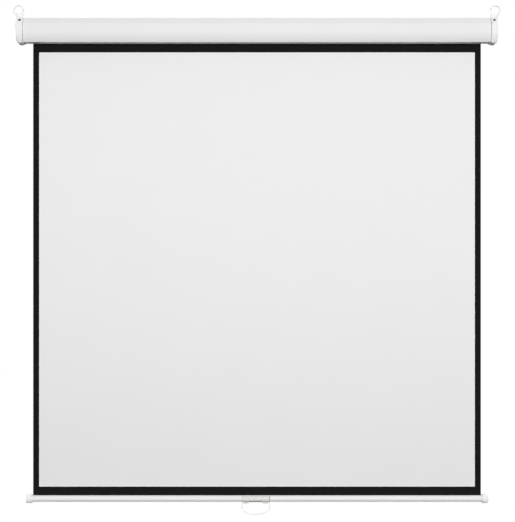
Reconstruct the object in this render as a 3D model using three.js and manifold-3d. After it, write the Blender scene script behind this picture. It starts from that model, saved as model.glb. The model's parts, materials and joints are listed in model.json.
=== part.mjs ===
// A manual projection screen with a spring roller, pulled all the way down.
// Millimetres. X runs along the case to the right as seen from the front, Y runs back to the wall and
// Z up. The origin is the middle of the case's flat back face, level with the roller's axis.

import * as THREE from 'three';
import { mergeVertices } from 'three/addons/utils/BufferGeometryUtils.js';
import Module from 'manifold-3d';

const wasm = await Module();
wasm.setup();

// Clearances
const FIT = 0.3; // between pieces that seat on each other
const SLIM_FIT = 0.5; // between pieces that pass each other
const OVERRUN = 5; // how far every cutter runs past the face that it cuts
const BITE = 0.4; // how deep joined forms of one piece sink into each other

// Roundness, in sides of a full turn
const SIDES = 28;
const SMALL_SIDES = 16;
const TINY_SIDES = 10;
const ROUND_STEPS = 6; // of an arc that isn't a full turn
const NOSE_STEPS = 3;

// Fabric
const FABRIC_WIDTH = 1500;
const FABRIC_THICKNESS = 0.42;
const FABRIC_TO_WALL = 22; // from the wall to the middle of the fabric's thickness
const WHITE_HEIGHT = 1455;
const SIDE_BORDER = 20;
const TOP_BORDER_END = 68; // below the roller's axis
const TOP_BORDER_START = 6;
const BOTTOM_BORDER = 28.5; // from the white area down to the bar
const INK = 0.15; // thickness of the black print
const TURN_GAP = 0.3; // between the turns that stay on the roller
const TURNS_LEFT = 1.25;

// Roller
const TUBE_RADIUS = 20;
const TUBE_WALL = 1.2;
const TUBE_MARGIN = 18; // past the fabric's edge at each end
const PLUG_FLANGE = 2;
const PLUG_DEPTH = 33;
const PLUG_SPIGOT = 13;
const RIVET_INSET = 8; // from the tube's end
const RIVET_TURN = Math.PI / 2; // to the front, away from the pawls
const RIVET_RADIUS = 1.6;
const RIVET_HEAD_RADIUS = 3;
const RIVET_HEAD = 0.9;
const RIVET_DEPTH = 5;

// Spindle, its bush and the idle pin at the other end
const SPINDLE_RADIUS = 4;
const FLAT_THICKNESS = 4; // of the spindle's flattened end
const FLAT_PAST_PLATE = 4.4;
const FLAT_IN_CASE = 1.5;
const BUSH_WALL = 1.7;
const BUSH_LENGTH = 24;
const BUSH_FLANGE = 1.5;
const BUSH_FLANGE_WIDTH = 2;
const IDLE_PIN_PAST_PLATE = 3.4;
const IDLE_PIN_DEPTH = 26;

// Spring and its fixed core
const WIRE_RADIUS = 0.9;
const SPRING_RADIUS = 10.2;
const SPIGOT_GAP = 0.8; // between the spring and what it is wound on
const SPRING_PITCH = 2.7;
const SPRING_TURNS = 32;
const SPRING_LEG = 4;
const SPRING_BEND = 3;
const LEG_HOLD = 2.5; // how deep each leg stands in its hole
const TURN_STEPS = 8;
const BEND_STEPS = 4;
const LEG_STEPS = 2;
const WIRE_SIDES = 5;
const CORE_FLANGE = 9;
const CORE_SPIGOT = 12;
const CORE_PIN_RADIUS = 1.5;
const CORE_PIN_LENGTH = 30;
const SPINDLE_PAST_CORE = 3;

// Ratchet
const HUB_TO_PAWL_PIN = 4.4;
const HUB_THICKNESS = 5;
const HUB_PIN_RADIUS = 1;
const HUB_PIN_INSET = 1.1;
const PAWL_PIN_INSET = 4.5; // from the plug's edge
const PAWL_SHORT = 5; // how far its nose would stop short of the axis, pointed straight at it
const PAWL_NOSE = 1.2;
const PAWL_EYE = 3.2;
const PAWL_PIN_RADIUS = 1.5;
const PAWL_PIN_HEAD_RADIUS = 2.6;
const PAWL_PIN_HEAD = 1;
const PAWL_PIN_DEPTH = 8;
const PAWL_CLEAR_ANGLE = THREE.MathUtils.degToRad(36.5); // below level, thrown clear of the hub
const PAWL_SWING = THREE.MathUtils.degToRad(22);
const NOTCH_STEPS = 5;

// Case section
const ROLL_GAP = 6.3; // between the full roll and the front wall
const CASE_TOP = 39;
const CASE_BOTTOM = 41.2;
const CASE_WALL = 1.5;
const BACK_EDGE = 32; // the back wall's lower edge, below the roller's axis
const FACET_DEPTH = 14; // the slanting face between the front and the top
const FACET_DROP = 21.2;
const BELLY_START = 8; // below the roller's axis, where the front begins to curve back
const BELLY_RADIUS = 52;
const SLOT_AHEAD = 8.5; // of the fabric, wide enough for the knobs to stop just under its edge
const SLOT_BEHIND = 10;
const SLOT_LIP = 4; // the slot's front edge, turned up
const END_UNDERCUT = 30; // where the closed ends slant up to the wall
const CASE_PAST_PLUGS = 8.5;
const PORT_RADIUS = 3.5; // screw ports that run along the case
const PORT_LOW = 22;
const PORT_FRONT_RISE = 12;
const PORT_SLIT = THREE.MathUtils.degToRad(70);

// End caps
const CAP_LENGTH = 22;
const CAP_PROUD = 4;
const CAP_GRIP = 4; // how far a cap reaches over the case
const CAP_WALL = 2.6;
const CAP_LOWER_CORNER = 9; // across the rounded lower outer corner
const CAP_CORNER_RISE = 11;
const CAP_EDGE = 3;
const CAP_LIP = 1.2; // the chamfer where a cap begins
const PLATE = 1.5;
const BOSS_WALL = 2.4;
const SCREW_RADIUS = 1.6;
const SCREW_HEAD_RADIUS = 3.4;
const SCREW_HEAD = 2.2;
const SCREW_SINK = 2.6; // depth of the recess for a head
const SCREW_IN_CASE = 14;
const CROSS_WIDTH = 0.8;
const CROSS_DEPTH = 1.2;

// Hanging rings, placed from the start of the cap
const RING_RADIUS = 18;
const RING_HOLE = 13;
const RING_THICKNESS = 6;
const RING_OUT = 15.8;
const NECK_HEIGHT = 11.4; // up to where the ring flares
const RING_TO_FRONT = 17; // from the case's front to the middle of the ring's thickness
const RING_FLARE = THREE.MathUtils.degToRad(35); // below level, where the neck leaves the ring
const NECK_IN = 0.6;
const NECK_WIDTH = 21.4;
const TONGUE_WIDTH = 11.5;
const TONGUE_GAP = 4.2; // between its socket and the bush below it
const SOCKET_WALL = 1.8;
const RING_SCREW_HEAD_RADIUS = 4.4;
const RING_SCREW_TIP = 6; // in the tongue

// Weight bar
const BAR_RADIUS = 11;
const BAR_WALL = 1.4;
const BAR_PAST_FABRIC = 14;
const BAR_SLOT = 3;
const ROD_RADIUS = 2.5;
const KNOB_GAP = 0.5; // between the fabric's edge and a knob
const KNOB_LENGTH = 21.5;
const KNOB_RADIUS = 15.5;
const KNOB_RIM = 1; // how far the knob's inner edge stands over the bar
const KNOB_CHAMFER = 4;
const KNOB_BAND = 5;
const KNOB_STEP = 0.5;
const KNOB_NOSE = 2.5;
const PLUG_TO_HEM = 2.3;

// Handle
const CLIP_LENGTH = 95;
const HANDLE_PLACE = -4; // the clip sits a little left of the bar's middle
const CLIP_WALL = 1.2;
const CLIP_OPENING = THREE.MathUtils.degToRad(80);
const PAD_LENGTH = 54;
const PAD_RISE = 0.8;
const PAD_TOP = THREE.MathUtils.degToRad(135);
const PAD_BOTTOM = THREE.MathUtils.degToRad(217);
const RIB_RISE = 0.6;
const RIB_WIDTH = 1.5;
const RIB_BOTTOM = THREE.MathUtils.degToRad(235);
const RIBS_A_SIDE = 4;
const LINER_THICKNESS = 0.8;
const LINER_TOP = THREE.MathUtils.degToRad(221);
const LINER_BOTTOM = THREE.MathUtils.degToRad(279);
const LUG_INSET = 7.3; // from the clip's end
const LUG_WIDTH = 17;
const LUG_WALL = 0.9;
const BAIL_WIRE = 1.2;
const BAIL_DROP = 39.9;
const BAIL_SHOULDER = 18; // below the pivot, where the bow begins
const BAIL_IN_LUG = 11;
const BAIL_STEPS = 56;
const BAIL_SIDES = 6;

// Places worked out from the sizes above
const FABRIC_HALF = FABRIC_WIDTH / 2;
const TURN_PITCH = FABRIC_THICKNESS + TURN_GAP;
const TURNS_RADIUS = TUBE_RADIUS + FIT + FABRIC_THICKNESS + TURN_PITCH * TURNS_LEFT;
const FABRIC_BACK = -FABRIC_TO_WALL + FABRIC_THICKNESS / 2;
const FABRIC_FRONT = FABRIC_BACK - FABRIC_THICKNESS;
const ROLLER_Y = FABRIC_BACK - TURNS_RADIUS;
const WHITE_END = TOP_BORDER_END + WHITE_HEIGHT;
const BAR_Z = -(WHITE_END + BOTTOM_BORDER + BAR_RADIUS);
const TUBE_BORE = TUBE_RADIUS - TUBE_WALL;
const FULL_ROLL = Math.hypot(TUBE_RADIUS + FIT, Math.sqrt((FABRIC_THICKNESS * WHITE_END) / Math.PI));
const CASE_DEPTH = FULL_ROLL - ROLLER_Y + ROLL_GAP + CASE_WALL;
const RING_TO_WALL = CASE_DEPTH - RING_TO_FRONT;
const RING_SHOULDER = CASE_TOP + CAP_PROUD + FIT;
const RING_UP = RING_SHOULDER + NECK_HEIGHT + RING_RADIUS * Math.sin(RING_FLARE);
const TUBE_HALF = FABRIC_HALF + TUBE_MARGIN;
const FLANGE_FACE = TUBE_HALF + FIT + PLUG_FLANGE;
const PLUG_RADIUS = TUBE_BORE - FIT;
const PLUG_END = TUBE_HALF - PLUG_DEPTH;
const SPIGOT_RADIUS = SPRING_RADIUS - WIRE_RADIUS - SPIGOT_GAP;
const PAWL_PIVOT = PLUG_RADIUS - PAWL_PIN_INSET; // from the roller's axis
const PAWL_REACH = PAWL_PIVOT - PAWL_SHORT; // from its pin to the middle of its nose
const HUB_RADIUS = PAWL_PIVOT - HUB_TO_PAWL_PIN;
const BUSH_BORE = SPINDLE_RADIUS + FIT;
const BUSH_RADIUS = BUSH_BORE + BUSH_WALL;
const CASE_HALF = FLANGE_FACE + CASE_PAST_PLUGS;
const PLATE_START = CASE_HALF + FIT;
const PLATE_END = PLATE_START + PLATE;
const SEAM = CASE_HALF - CAP_GRIP;
const HUB_START = FLANGE_FACE + SLIM_FIT;
const PORT_INSET = CASE_WALL + PORT_RADIUS - BITE;
const BOSS_RADIUS = SCREW_RADIUS + FIT + BOSS_WALL;
const PIVOT_DROP = BAR_RADIUS + FIT + CLIP_WALL + SLIM_FIT + BAIL_WIRE;
const LUG_END = CLIP_LENGTH / 2 - LUG_INSET;
const BAIL_CORNER = LUG_INSET - SLIM_FIT;
const LUG_START = LUG_END - LUG_WIDTH;

const PAINT_WHITE = { color: 0xeceded, roughness: 0.35, metalness: 0.0 };
const PLASTIC_WHITE = { color: 0xf1f1f0, roughness: 0.45, metalness: 0.0 };
const PLASTIC_GREY = { color: 0xc9cac6, roughness: 0.5, metalness: 0.0 };
const STEEL = { color: 0xa9abad, roughness: 0.35, metalness: 0.9 };
const DARK_STEEL = { color: 0x55575a, roughness: 0.4, metalness: 0.9 };
const BRASS = { color: 0xb59a5a, roughness: 0.35, metalness: 0.9 };
const WHITE_CLOTH = { color: 0xe9ebec, roughness: 0.9, metalness: 0.0 };
const BLACK_CLOTH = { color: 0x1b1b1d, roughness: 0.85, metalness: 0.0 };
const RUBBER = { color: 0x2a2a2b, roughness: 0.8, metalness: 0.0 };

// A piece with its own name and material
function piece(name, look, geometry, x = 0, y = 0, z = 0) {
  const mesh = new THREE.Mesh(geometry, new THREE.MeshStandardMaterial(look));
  mesh.name = name;
  mesh.position.set(x, y, z);
  return mesh;
}

// A closed geometry as a solid, with its corners joined and empty triangles left out
function solidOf(geometry) {
  const bare = geometry.clone();
  bare.deleteAttribute('normal');
  bare.deleteAttribute('uv');
  const merged = mergeVertices(bare);
  const corners = merged.index.array;
  const triangles = [];
  for (let i = 0; i < corners.length; i += 3) {
    const [a, b, c] = corners.slice(i, i + 3);
    if (a !== b && b !== c && c !== a) triangles.push(a, b, c);
  }
  const mesh = new wasm.Mesh({
    numProp: 3,
    vertProperties: new Float32Array(merged.attributes.position.array),
    triVerts: new Uint32Array(triangles),
  });
  return new wasm.Manifold(mesh);
}

function geometryOf(solid) {
  const mesh = solid.getMesh();
  const geometry = new THREE.BufferGeometry();
  geometry.setAttribute('position', new THREE.BufferAttribute(mesh.vertProperties, 3));
  geometry.setIndex(new THREE.BufferAttribute(mesh.triVerts, 1));
  return geometry;
}

function joined(first, ...others) {
  return geometryOf(others.reduce((sum, other) => sum.add(solidOf(other)), solidOf(first)));
}

function cut(body, ...cutters) {
  return geometryOf(cutters.reduce((rest, cutter) => rest.subtract(solidOf(cutter)), solidOf(body)));
}

function shared(body, other) {
  return geometryOf(solidOf(body).intersect(solidOf(other)));
}

// The same geometry on the left instead of the right, with its faces still pointing out
function mirrored(geometry) {
  const copy = geometry.index ? geometry.toNonIndexed() : geometry.clone();
  const places = copy.attributes.position;
  const flipped = new Float32Array(places.count * 3);
  for (let i = 0; i < places.count; i += 1) {
    const swapped = i - (i % 3) + [0, 2, 1][i % 3];
    flipped.set([-places.getX(swapped), places.getY(swapped), places.getZ(swapped)], i * 3);
  }
  const result = new THREE.BufferGeometry();
  result.setAttribute('position', new THREE.BufferAttribute(flipped, 3));
  return result;
}

// Points of an arc, both ends included
function arc(centreX, centreY, radius, from, to, steps) {
  const points = [];
  for (let i = 0; i <= steps; i += 1) {
    const angle = from + ((to - from) * i) / steps;
    points.push(new THREE.Vector2(centreX + radius * Math.cos(angle), centreY + radius * Math.sin(angle)));
  }
  return points;
}

// Moves a line of points to its right by a distance, with square corners. A closed line joins up.
function shifted(points, distance, closed) {
  const count = points.length;
  const right = points.map((point, i) => {
    const along = new THREE.Vector2().subVectors(points[(i + 1) % count], point).normalize();
    return new THREE.Vector2(along.y, -along.x);
  });
  return points.map((point, i) => {
    let before = right[(i + count - 1) % count];
    let after = right[i];
    if (!closed && i === 0) before = after;
    if (!closed && i === count - 1) after = before;
    const mitre = new THREE.Vector2().addVectors(before, after).divideScalar(1 + before.dot(after));
    return mitre.multiplyScalar(distance).add(point);
  });
}

// A strip of sheet along a line of points, with the sheet's thickness on the line's left
function strip(points, thickness) {
  return [...points, ...shifted(points, -thickness, false).reverse()];
}

// Outline of a part of a ring
function ringSector(inner, outer, from, to, sides = SIDES) {
  const steps = Math.ceil(((to - from) / (2 * Math.PI)) * sides);
  return [...arc(0, 0, outer, from, to, steps), ...arc(0, 0, inner, to, from, steps)];
}

function circle(radius, sides, centreX = 0, centreY = 0) {
  return arc(centreX, centreY, radius, 0, 2 * Math.PI, sides).slice(0, -1);
}

function rectangle(left, bottom, right, top) {
  const corner = (x, y) => new THREE.Vector2(x, y);
  return [corner(left, bottom), corner(right, bottom), corner(right, top), corner(left, top)];
}

function prism(outline, length, holes) {
  const shape = new THREE.Shape(outline);
  shape.holes = holes.map((hole) => new THREE.Path(hole));
  return new THREE.ExtrudeGeometry(shape, { depth: length, bevelEnabled: false });
}

// Outlines in Y and Z, pulled along X from a start to an end
function alongX(outline, start, end, holes = []) {
  const turn = new THREE.Matrix4().makeBasis(
    new THREE.Vector3(0, 1, 0),
    new THREE.Vector3(0, 0, 1),
    new THREE.Vector3(1, 0, 0),
  );
  return prism(outline, end - start, holes).applyMatrix4(turn).translate(start, 0, 0);
}

// Outlines in X and Z, pulled along Y from a start to an end
function alongY(outline, start, end, holes = []) {
  return prism(outline, end - start, holes).rotateX(Math.PI / 2).translate(0, end, 0);
}

function box(start, end) {
  const size = new THREE.Vector3().subVectors(end, start);
  const middle = new THREE.Vector3().addVectors(start, end).multiplyScalar(0.5);
  return new THREE.BoxGeometry(size.x, size.y, size.z).translate(middle.x, middle.y, middle.z);
}

function rodX(radius, start, end, sides = SMALL_SIDES) {
  const rod = new THREE.CylinderGeometry(radius, radius, end - start, sides);
  return rod.rotateZ(-Math.PI / 2).translate((start + end) / 2, 0, 0);
}

// A form turned about the X axis, from points that each give a place along X and a radius.
// Either way round its profile goes, its faces point out.
function turned(profile, sides = SIDES) {
  const points = profile.map(([along, radius]) => new THREE.Vector2(radius, along));
  if (THREE.ShapeUtils.area(points) < 0) points.reverse();
  return new THREE.LatheGeometry(points, sides).rotateZ(-Math.PI / 2);
}

// Outline of the case's outer skin from the back's lower edge, over the top and down to the lip
function caseSkin() {
  const front = -CASE_DEPTH;
  const bellyEnd = Math.PI + Math.asin((CASE_BOTTOM - BELLY_START) / BELLY_RADIUS);
  return [
    new THREE.Vector2(0, -BACK_EDGE),
    new THREE.Vector2(0, CASE_TOP),
    new THREE.Vector2(front + FACET_DEPTH, CASE_TOP),
    new THREE.Vector2(front, CASE_TOP - FACET_DROP),
    ...arc(front + BELLY_RADIUS, -BELLY_START, BELLY_RADIUS, Math.PI, bellyEnd, ROUND_STEPS),
  ];
}

// The same outline closed underneath, as the ends of the case are
function endOutline(growth = 0) {
  return shifted([...caseSkin(), new THREE.Vector2(-END_UNDERCUT, -CASE_BOTTOM)], growth, true);
}

// Screw ports as places in Y and Z: high at the back, on the front wall, and low at the back
function ports() {
  const front = -CASE_DEPTH + PORT_INSET;
  return {
    top: { y: -PORT_INSET, z: CASE_TOP - PORT_INSET, opens: 1.25 * Math.PI },
    front: { y: front, z: CASE_TOP - FACET_DROP - PORT_FRONT_RISE, opens: 0 },
    low: { y: -PORT_INSET, z: -PORT_LOW, opens: Math.PI },
  };
}

function caseHousing() {
  const behind = -FABRIC_TO_WALL + SLOT_BEHIND;
  const ahead = -FABRIC_TO_WALL - SLOT_AHEAD;
  const sheet = [
    new THREE.Vector2(behind, -BACK_EDGE),
    ...caseSkin(),
    new THREE.Vector2(ahead, -CASE_BOTTOM),
    new THREE.Vector2(ahead, -CASE_BOTTOM + SLOT_LIP),
  ];
  const skin = alongX(strip(sheet, CASE_WALL), -CASE_HALF, CASE_HALF);
  const tubes = Object.values(ports()).map(({ y, z, opens }) => {
    const from = opens + PORT_SLIT / 2;
    const to = opens + 2 * Math.PI - PORT_SLIT / 2;
    const port = ringSector(SCREW_RADIUS + FIT, PORT_RADIUS, from, to, TINY_SIDES);
    return alongX(port, -CASE_HALF, CASE_HALF).translate(0, y, z);
  });
  return piece('case_housing', PAINT_WHITE, joined(skin, ...tubes));
}

// A form whose closed outline shrinks from place to place along X
function lofted(outline, stations) {
  const rings = stations.map(([, inset]) => shifted(outline, -inset, true));
  const count = outline.length;
  const places = rings.flatMap((ring, i) => ring.flatMap(({ x, y }) => [stations[i][0], x, y]));
  const triangles = [];
  for (let ring = 0; ring < rings.length - 1; ring += 1) {
    for (let i = 0; i < count; i += 1) {
      const a = ring * count + i;
      const b = ring * count + ((i + 1) % count);
      triangles.push(a, b, b + count, a, b + count, a + count);
    }
  }
  const lastRing = (rings.length - 1) * count;
  for (const [a, b, c] of THREE.ShapeUtils.triangulateShape(outline, [])) {
    triangles.push(a, c, b, lastRing + a, lastRing + b, lastRing + c);
  }
  const geometry = new THREE.BufferGeometry();
  geometry.setAttribute('position', new THREE.Float32BufferAttribute(places, 3));
  geometry.setIndex(triangles);
  return geometry;
}

// A block seen from the front as the cap is, with its lower outer corner rounded
function capFrontView(inset) {
  const radius = CAP_LOWER_CORNER - inset;
  const right = CAP_LENGTH - inset;
  const bottom = -CASE_BOTTOM - CAP_PROUD + inset;
  const top = CASE_TOP + CAP_PROUD + OVERRUN;
  const stretch = CAP_CORNER_RISE / CAP_LOWER_CORNER;
  const corner = arc(right - radius, radius, radius, -Math.PI / 2, 0, ROUND_STEPS);
  const outline = [
    new THREE.Vector2(-OVERRUN, bottom),
    ...corner.map(({ x, y }) => new THREE.Vector2(x, bottom + y * stretch)),
    new THREE.Vector2(right, top),
    new THREE.Vector2(-OVERRUN, top),
  ];
  return alongY(outline, -CASE_DEPTH - CAP_PROUD - OVERRUN, CAP_PROUD + OVERRUN);
}

// Middle of the cap's slanting face, the way out of it, and how far the ring's tongue lies behind it
function facet() {
  const out = new THREE.Vector3(0, -FACET_DROP, FACET_DEPTH).normalize();
  const middle = new THREE.Vector3(
    CAP_GRIP + FIT + PLATE + FIT + BOSS_RADIUS,
    -CASE_DEPTH + FACET_DEPTH / 2,
    CASE_TOP - FACET_DROP / 2,
  ).addScaledVector(out, CAP_PROUD);
  const toTongue = (middle.y + RING_TO_WALL + RING_THICKNESS / 2) / out.y;
  return { out, middle, toTongue };
}

// A form turned about Z, laid on the cap's slanting face with Z along the way out of it
function onFacet(geometry) {
  const { out, middle } = facet();
  const turn = new THREE.Quaternion().setFromUnitVectors(new THREE.Vector3(0, 0, 1), out);
  return geometry.applyQuaternion(turn).translate(middle.x, middle.y, middle.z);
}

function rodZ(radius, start, end, sides = SMALL_SIDES) {
  const rod = new THREE.CylinderGeometry(radius, radius, end - start, sides);
  return rod.rotateX(Math.PI / 2).translate(0, 0, (start + end) / 2);
}

function tonguePlace() {
  const start = CAP_GRIP + FIT + PLATE + SLIM_FIT;
  const bottom = BUSH_RADIUS + TONGUE_GAP + SOCKET_WALL + FIT;
  return { start, end: start + TONGUE_WIDTH, bottom };
}

// The right cap, with X counted from the seam where it begins
function capShell() {
  const edge = [];
  for (let i = 0; i <= NOSE_STEPS; i += 1) {
    const angle = (Math.PI / 2) * (i / NOSE_STEPS);
    edge.push([CAP_LENGTH - CAP_EDGE * (1 - Math.sin(angle)), CAP_EDGE * (1 - Math.cos(angle))]);
  }
  const outside = lofted(endOutline(CAP_PROUD), [[0, CAP_LIP], [CAP_LIP, 0], ...edge]);
  const hollow = alongX(endOutline(FIT), -OVERRUN, CAP_LENGTH - CAP_WALL);
  const backWall = box(
    new THREE.Vector3(CAP_GRIP + PLATE + 2 * FIT, -CAP_WALL, -CASE_BOTTOM - CAP_PROUD - OVERRUN),
    new THREE.Vector3(CAP_LENGTH + OVERRUN, OVERRUN, CASE_TOP + CAP_PROUD + OVERRUN),
  );
  const inside = cut(shared(hollow, capFrontView(CAP_WALL)), backWall);
  const pastWall = box(
    new THREE.Vector3(-OVERRUN, 0, -CASE_BOTTOM - CAP_PROUD - OVERRUN),
    new THREE.Vector3(CAP_LENGTH + OVERRUN, CAP_PROUD + OVERRUN, CASE_TOP + CAP_PROUD + OVERRUN),
  );
  return cut(shared(outside, capFrontView(0)), inside, pastWall);
}

// What stands inside the cap: a boss for each screw, and a socket for the ring's tongue
function capInside() {
  const start = CAP_GRIP + PLATE + 2 * FIT;
  const bosses = Object.values(ports()).map(({ y, z }) => (
    rodX(BOSS_RADIUS, start, CAP_LENGTH - CAP_WALL / 2, TINY_SIDES).translate(0, y, z)
  ));
  const tongue = tonguePlace();
  const socketHalf = RING_THICKNESS / 2 + FIT + SOCKET_WALL;
  const socket = box(
    new THREE.Vector3(start, -RING_TO_WALL - socketHalf, tongue.bottom - FIT - SOCKET_WALL),
    new THREE.Vector3(tongue.end + FIT + SOCKET_WALL, -RING_TO_WALL + socketHalf, CASE_TOP + CAP_PROUD / 2),
  );
  const { toTongue } = facet();
  const screwBoss = onFacet(rodZ(BOSS_RADIUS, -toTongue, -CAP_PROUD / 2, TINY_SIDES));
  return [...bosses, socket, screwBoss];
}

function endCap(name, side) {
  const tongue = tonguePlace();
  const tongueHalf = RING_THICKNESS / 2 + FIT;
  const tongueHole = box(
    new THREE.Vector3(tongue.start - FIT, -RING_TO_WALL - tongueHalf, tongue.bottom - FIT),
    new THREE.Vector3(tongue.end + FIT, -RING_TO_WALL + tongueHalf, CASE_TOP + CAP_PROUD + OVERRUN),
  );
  const screwHoles = Object.values(ports()).flatMap(({ y, z }) => [
    rodX(SCREW_RADIUS + FIT, 0, CAP_LENGTH + OVERRUN, TINY_SIDES).translate(0, y, z),
    rodX(SCREW_HEAD_RADIUS + FIT, CAP_LENGTH - SCREW_SINK, CAP_LENGTH + OVERRUN).translate(0, y, z),
  ]);
  const { toTongue } = facet();
  const ringHoles = [
    onFacet(rodZ(SCREW_RADIUS + FIT, -toTongue - RING_SCREW_TIP - FIT, OVERRUN, TINY_SIDES)),
    onFacet(rodZ(RING_SCREW_HEAD_RADIUS + 2 * FIT, -SCREW_SINK, OVERRUN)),
  ];
  const body = joined(capShell(), ...capInside());
  const placed = cut(body, tongueHole, ...screwHoles, ...ringHoles).translate(SEAM, 0, 0);
  return piece(name, PLASTIC_WHITE, side > 0 ? placed : mirrored(placed));
}

// Ring, neck and tongue in one flat moulding
function hangingRing(name, side) {
  const tongue = tonguePlace();
  const outline = [
    ...arc(RING_OUT, RING_UP, RING_RADIUS, -RING_FLARE, Math.PI + RING_FLARE, 3 * ROUND_STEPS),
    new THREE.Vector2(NECK_IN, RING_SHOULDER),
    new THREE.Vector2(tongue.start, RING_SHOULDER),
    new THREE.Vector2(tongue.start, tongue.bottom),
    new THREE.Vector2(tongue.end, tongue.bottom),
    new THREE.Vector2(tongue.end, RING_SHOULDER),
    new THREE.Vector2(NECK_IN + NECK_WIDTH, RING_SHOULDER),
  ];
  const hole = circle(RING_HOLE, SIDES, RING_OUT, RING_UP);
  const back = -RING_TO_WALL + RING_THICKNESS / 2;
  const plate = alongY(outline, back - RING_THICKNESS, back, [hole]);
  const { toTongue } = facet();
  const holeEnd = -toTongue - RING_THICKNESS - OVERRUN;
  const screwHole = onFacet(rodZ(SCREW_RADIUS + FIT, holeEnd, -SCREW_SINK, TINY_SIDES));
  const placed = cut(plate, screwHole).translate(SEAM, 0, 0);
  return piece(name, PLASTIC_WHITE, side > 0 ? placed : mirrored(placed));
}

// A pan-head screw with a cross recess. Its head's seat is at zero and it points down Z.
function screw(headRadius, shankLength) {
  const profile = [
    [-shankLength, 0],
    [-shankLength + SCREW_RADIUS, SCREW_RADIUS],
    [0, SCREW_RADIUS],
    [0, headRadius],
    [SCREW_HEAD / 2, headRadius],
    [SCREW_HEAD, headRadius / 2],
    [SCREW_HEAD, 0],
  ];
  const body = turned(profile, TINY_SIDES).rotateY(-Math.PI / 2);
  const bars = [[CROSS_WIDTH / 2, headRadius / 2], [headRadius / 2, CROSS_WIDTH / 2]].map(([x, y]) => box(
    new THREE.Vector3(-x, -y, SCREW_HEAD - CROSS_DEPTH),
    new THREE.Vector3(x, y, SCREW_HEAD + OVERRUN),
  ));
  return cut(body, joined(...bars));
}

function capScrews(sideName, side) {
  return Object.entries(ports()).map(([place, { y, z }]) => {
    const seat = SEAM + CAP_LENGTH - SCREW_SINK + FIT / 2;
    const length = seat - CASE_HALF + SCREW_IN_CASE;
    const geometry = screw(SCREW_HEAD_RADIUS, length).rotateY(Math.PI / 2).translate(seat, y, z);
    const name = `cap_screw_${sideName}_${place}`;
    return piece(name, STEEL, side > 0 ? geometry : mirrored(geometry));
  });
}

function ringScrew(name, side) {
  const { toTongue } = facet();
  const seat = -SCREW_SINK + FIT / 2;
  const length = toTongue + seat + RING_SCREW_TIP;
  const geometry = onFacet(screw(RING_SCREW_HEAD_RADIUS, length).translate(0, 0, seat));
  geometry.translate(SEAM, 0, 0);
  return piece(name, DARK_STEEL, side > 0 ? geometry : mirrored(geometry));
}

function plateHoles() {
  return Object.values(ports()).map(({ y, z }) => circle(SCREW_RADIUS + FIT, TINY_SIDES, y, z));
}

// Left end plate, with a slot that keeps the spindle's flat end from turning
function spindlePlate() {
  const slot = rectangle(
    ROLLER_Y - FLAT_THICKNESS / 2 - FIT,
    -SPINDLE_RADIUS - FIT,
    ROLLER_Y + FLAT_THICKNESS / 2 + FIT,
    SPINDLE_RADIUS + FIT,
  );
  const geometry = alongX(endOutline(), -PLATE_END, -PLATE_START, [slot, ...plateHoles()]);
  return piece('spindle_plate', STEEL, geometry);
}

function idlePlate() {
  const seat = circle(BUSH_RADIUS + FIT, SMALL_SIDES, ROLLER_Y, 0);
  return piece('idle_plate', STEEL, alongX(endOutline(), PLATE_START, PLATE_END, [seat, ...plateHoles()]));
}

// Flanged bush in the right end plate
function idleBush() {
  const flangeStart = PLATE_START - FIT - BUSH_FLANGE;
  const end = PLATE_END + BUSH_FLANGE;
  const profile = [
    [flangeStart, BUSH_BORE],
    [flangeStart, BUSH_RADIUS + BUSH_FLANGE_WIDTH],
    [flangeStart + BUSH_FLANGE, BUSH_RADIUS + BUSH_FLANGE_WIDTH],
    [flangeStart + BUSH_FLANGE, BUSH_RADIUS],
    [end, BUSH_RADIUS],
    [end, BUSH_BORE],
    [flangeStart, BUSH_BORE],
  ];
  return piece('idle_bush', PLASTIC_GREY, turned(profile, SMALL_SIDES), 0, ROLLER_Y);
}

// Where the spring's far end and its core lie, counted from the middle of the roller
function coreFace() {
  return PLUG_END + 2 * LEG_HOLD - 2 * new SpringPath().reach;
}

// The fixed rod: round, with a flattened end in the plate and a hole for each cross pin
function springSpindle() {
  const tip = PLATE_END + FLAT_PAST_PLATE;
  const inner = coreFace() - CORE_FLANGE - SPINDLE_PAST_CORE;
  const rod = rodX(SPINDLE_RADIUS, inner, tip);
  const past = SPINDLE_RADIUS + OVERRUN;
  const behind = box(
    new THREE.Vector3(CASE_HALF - FLAT_IN_CASE, FLAT_THICKNESS / 2, -past),
    new THREE.Vector3(tip + OVERRUN, past, past),
  );
  const ahead = behind.clone().rotateX(Math.PI);
  const geometry = cut(rod, behind, ahead, crossHole(hubPin()), crossHole(corePin()));
  return piece('spring_spindle', STEEL, mirrored(geometry), 0, ROLLER_Y);
}

// Pin through the spindle that holds the hub, level between its notches
function hubPin() {
  const x = HUB_START + HUB_THICKNESS / 2;
  const length = 2 * (HUB_RADIUS - HUB_PIN_INSET);
  return { x, radius: HUB_PIN_RADIUS, length, turn: Math.PI / 2 };
}

// Pin through the spindle that holds the spring's core
function corePin() {
  const x = coreFace() - CORE_FLANGE / 2;
  return { x, radius: CORE_PIN_RADIUS, length: CORE_PIN_LENGTH, turn: 0 };
}

function crossPin(name, { x, radius, length, turn }) {
  const geometry = rodZ(radius, -length / 2, length / 2, TINY_SIDES).rotateX(turn).translate(x, 0, 0);
  return piece(name, STEEL, mirrored(geometry), 0, ROLLER_Y);
}

function crossHole({ x, radius, length, turn }) {
  const half = length / 2 + FIT;
  return rodZ(radius + FIT, -half, half, TINY_SIDES).rotateX(turn).translate(x, 0, 0);
}

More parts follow.
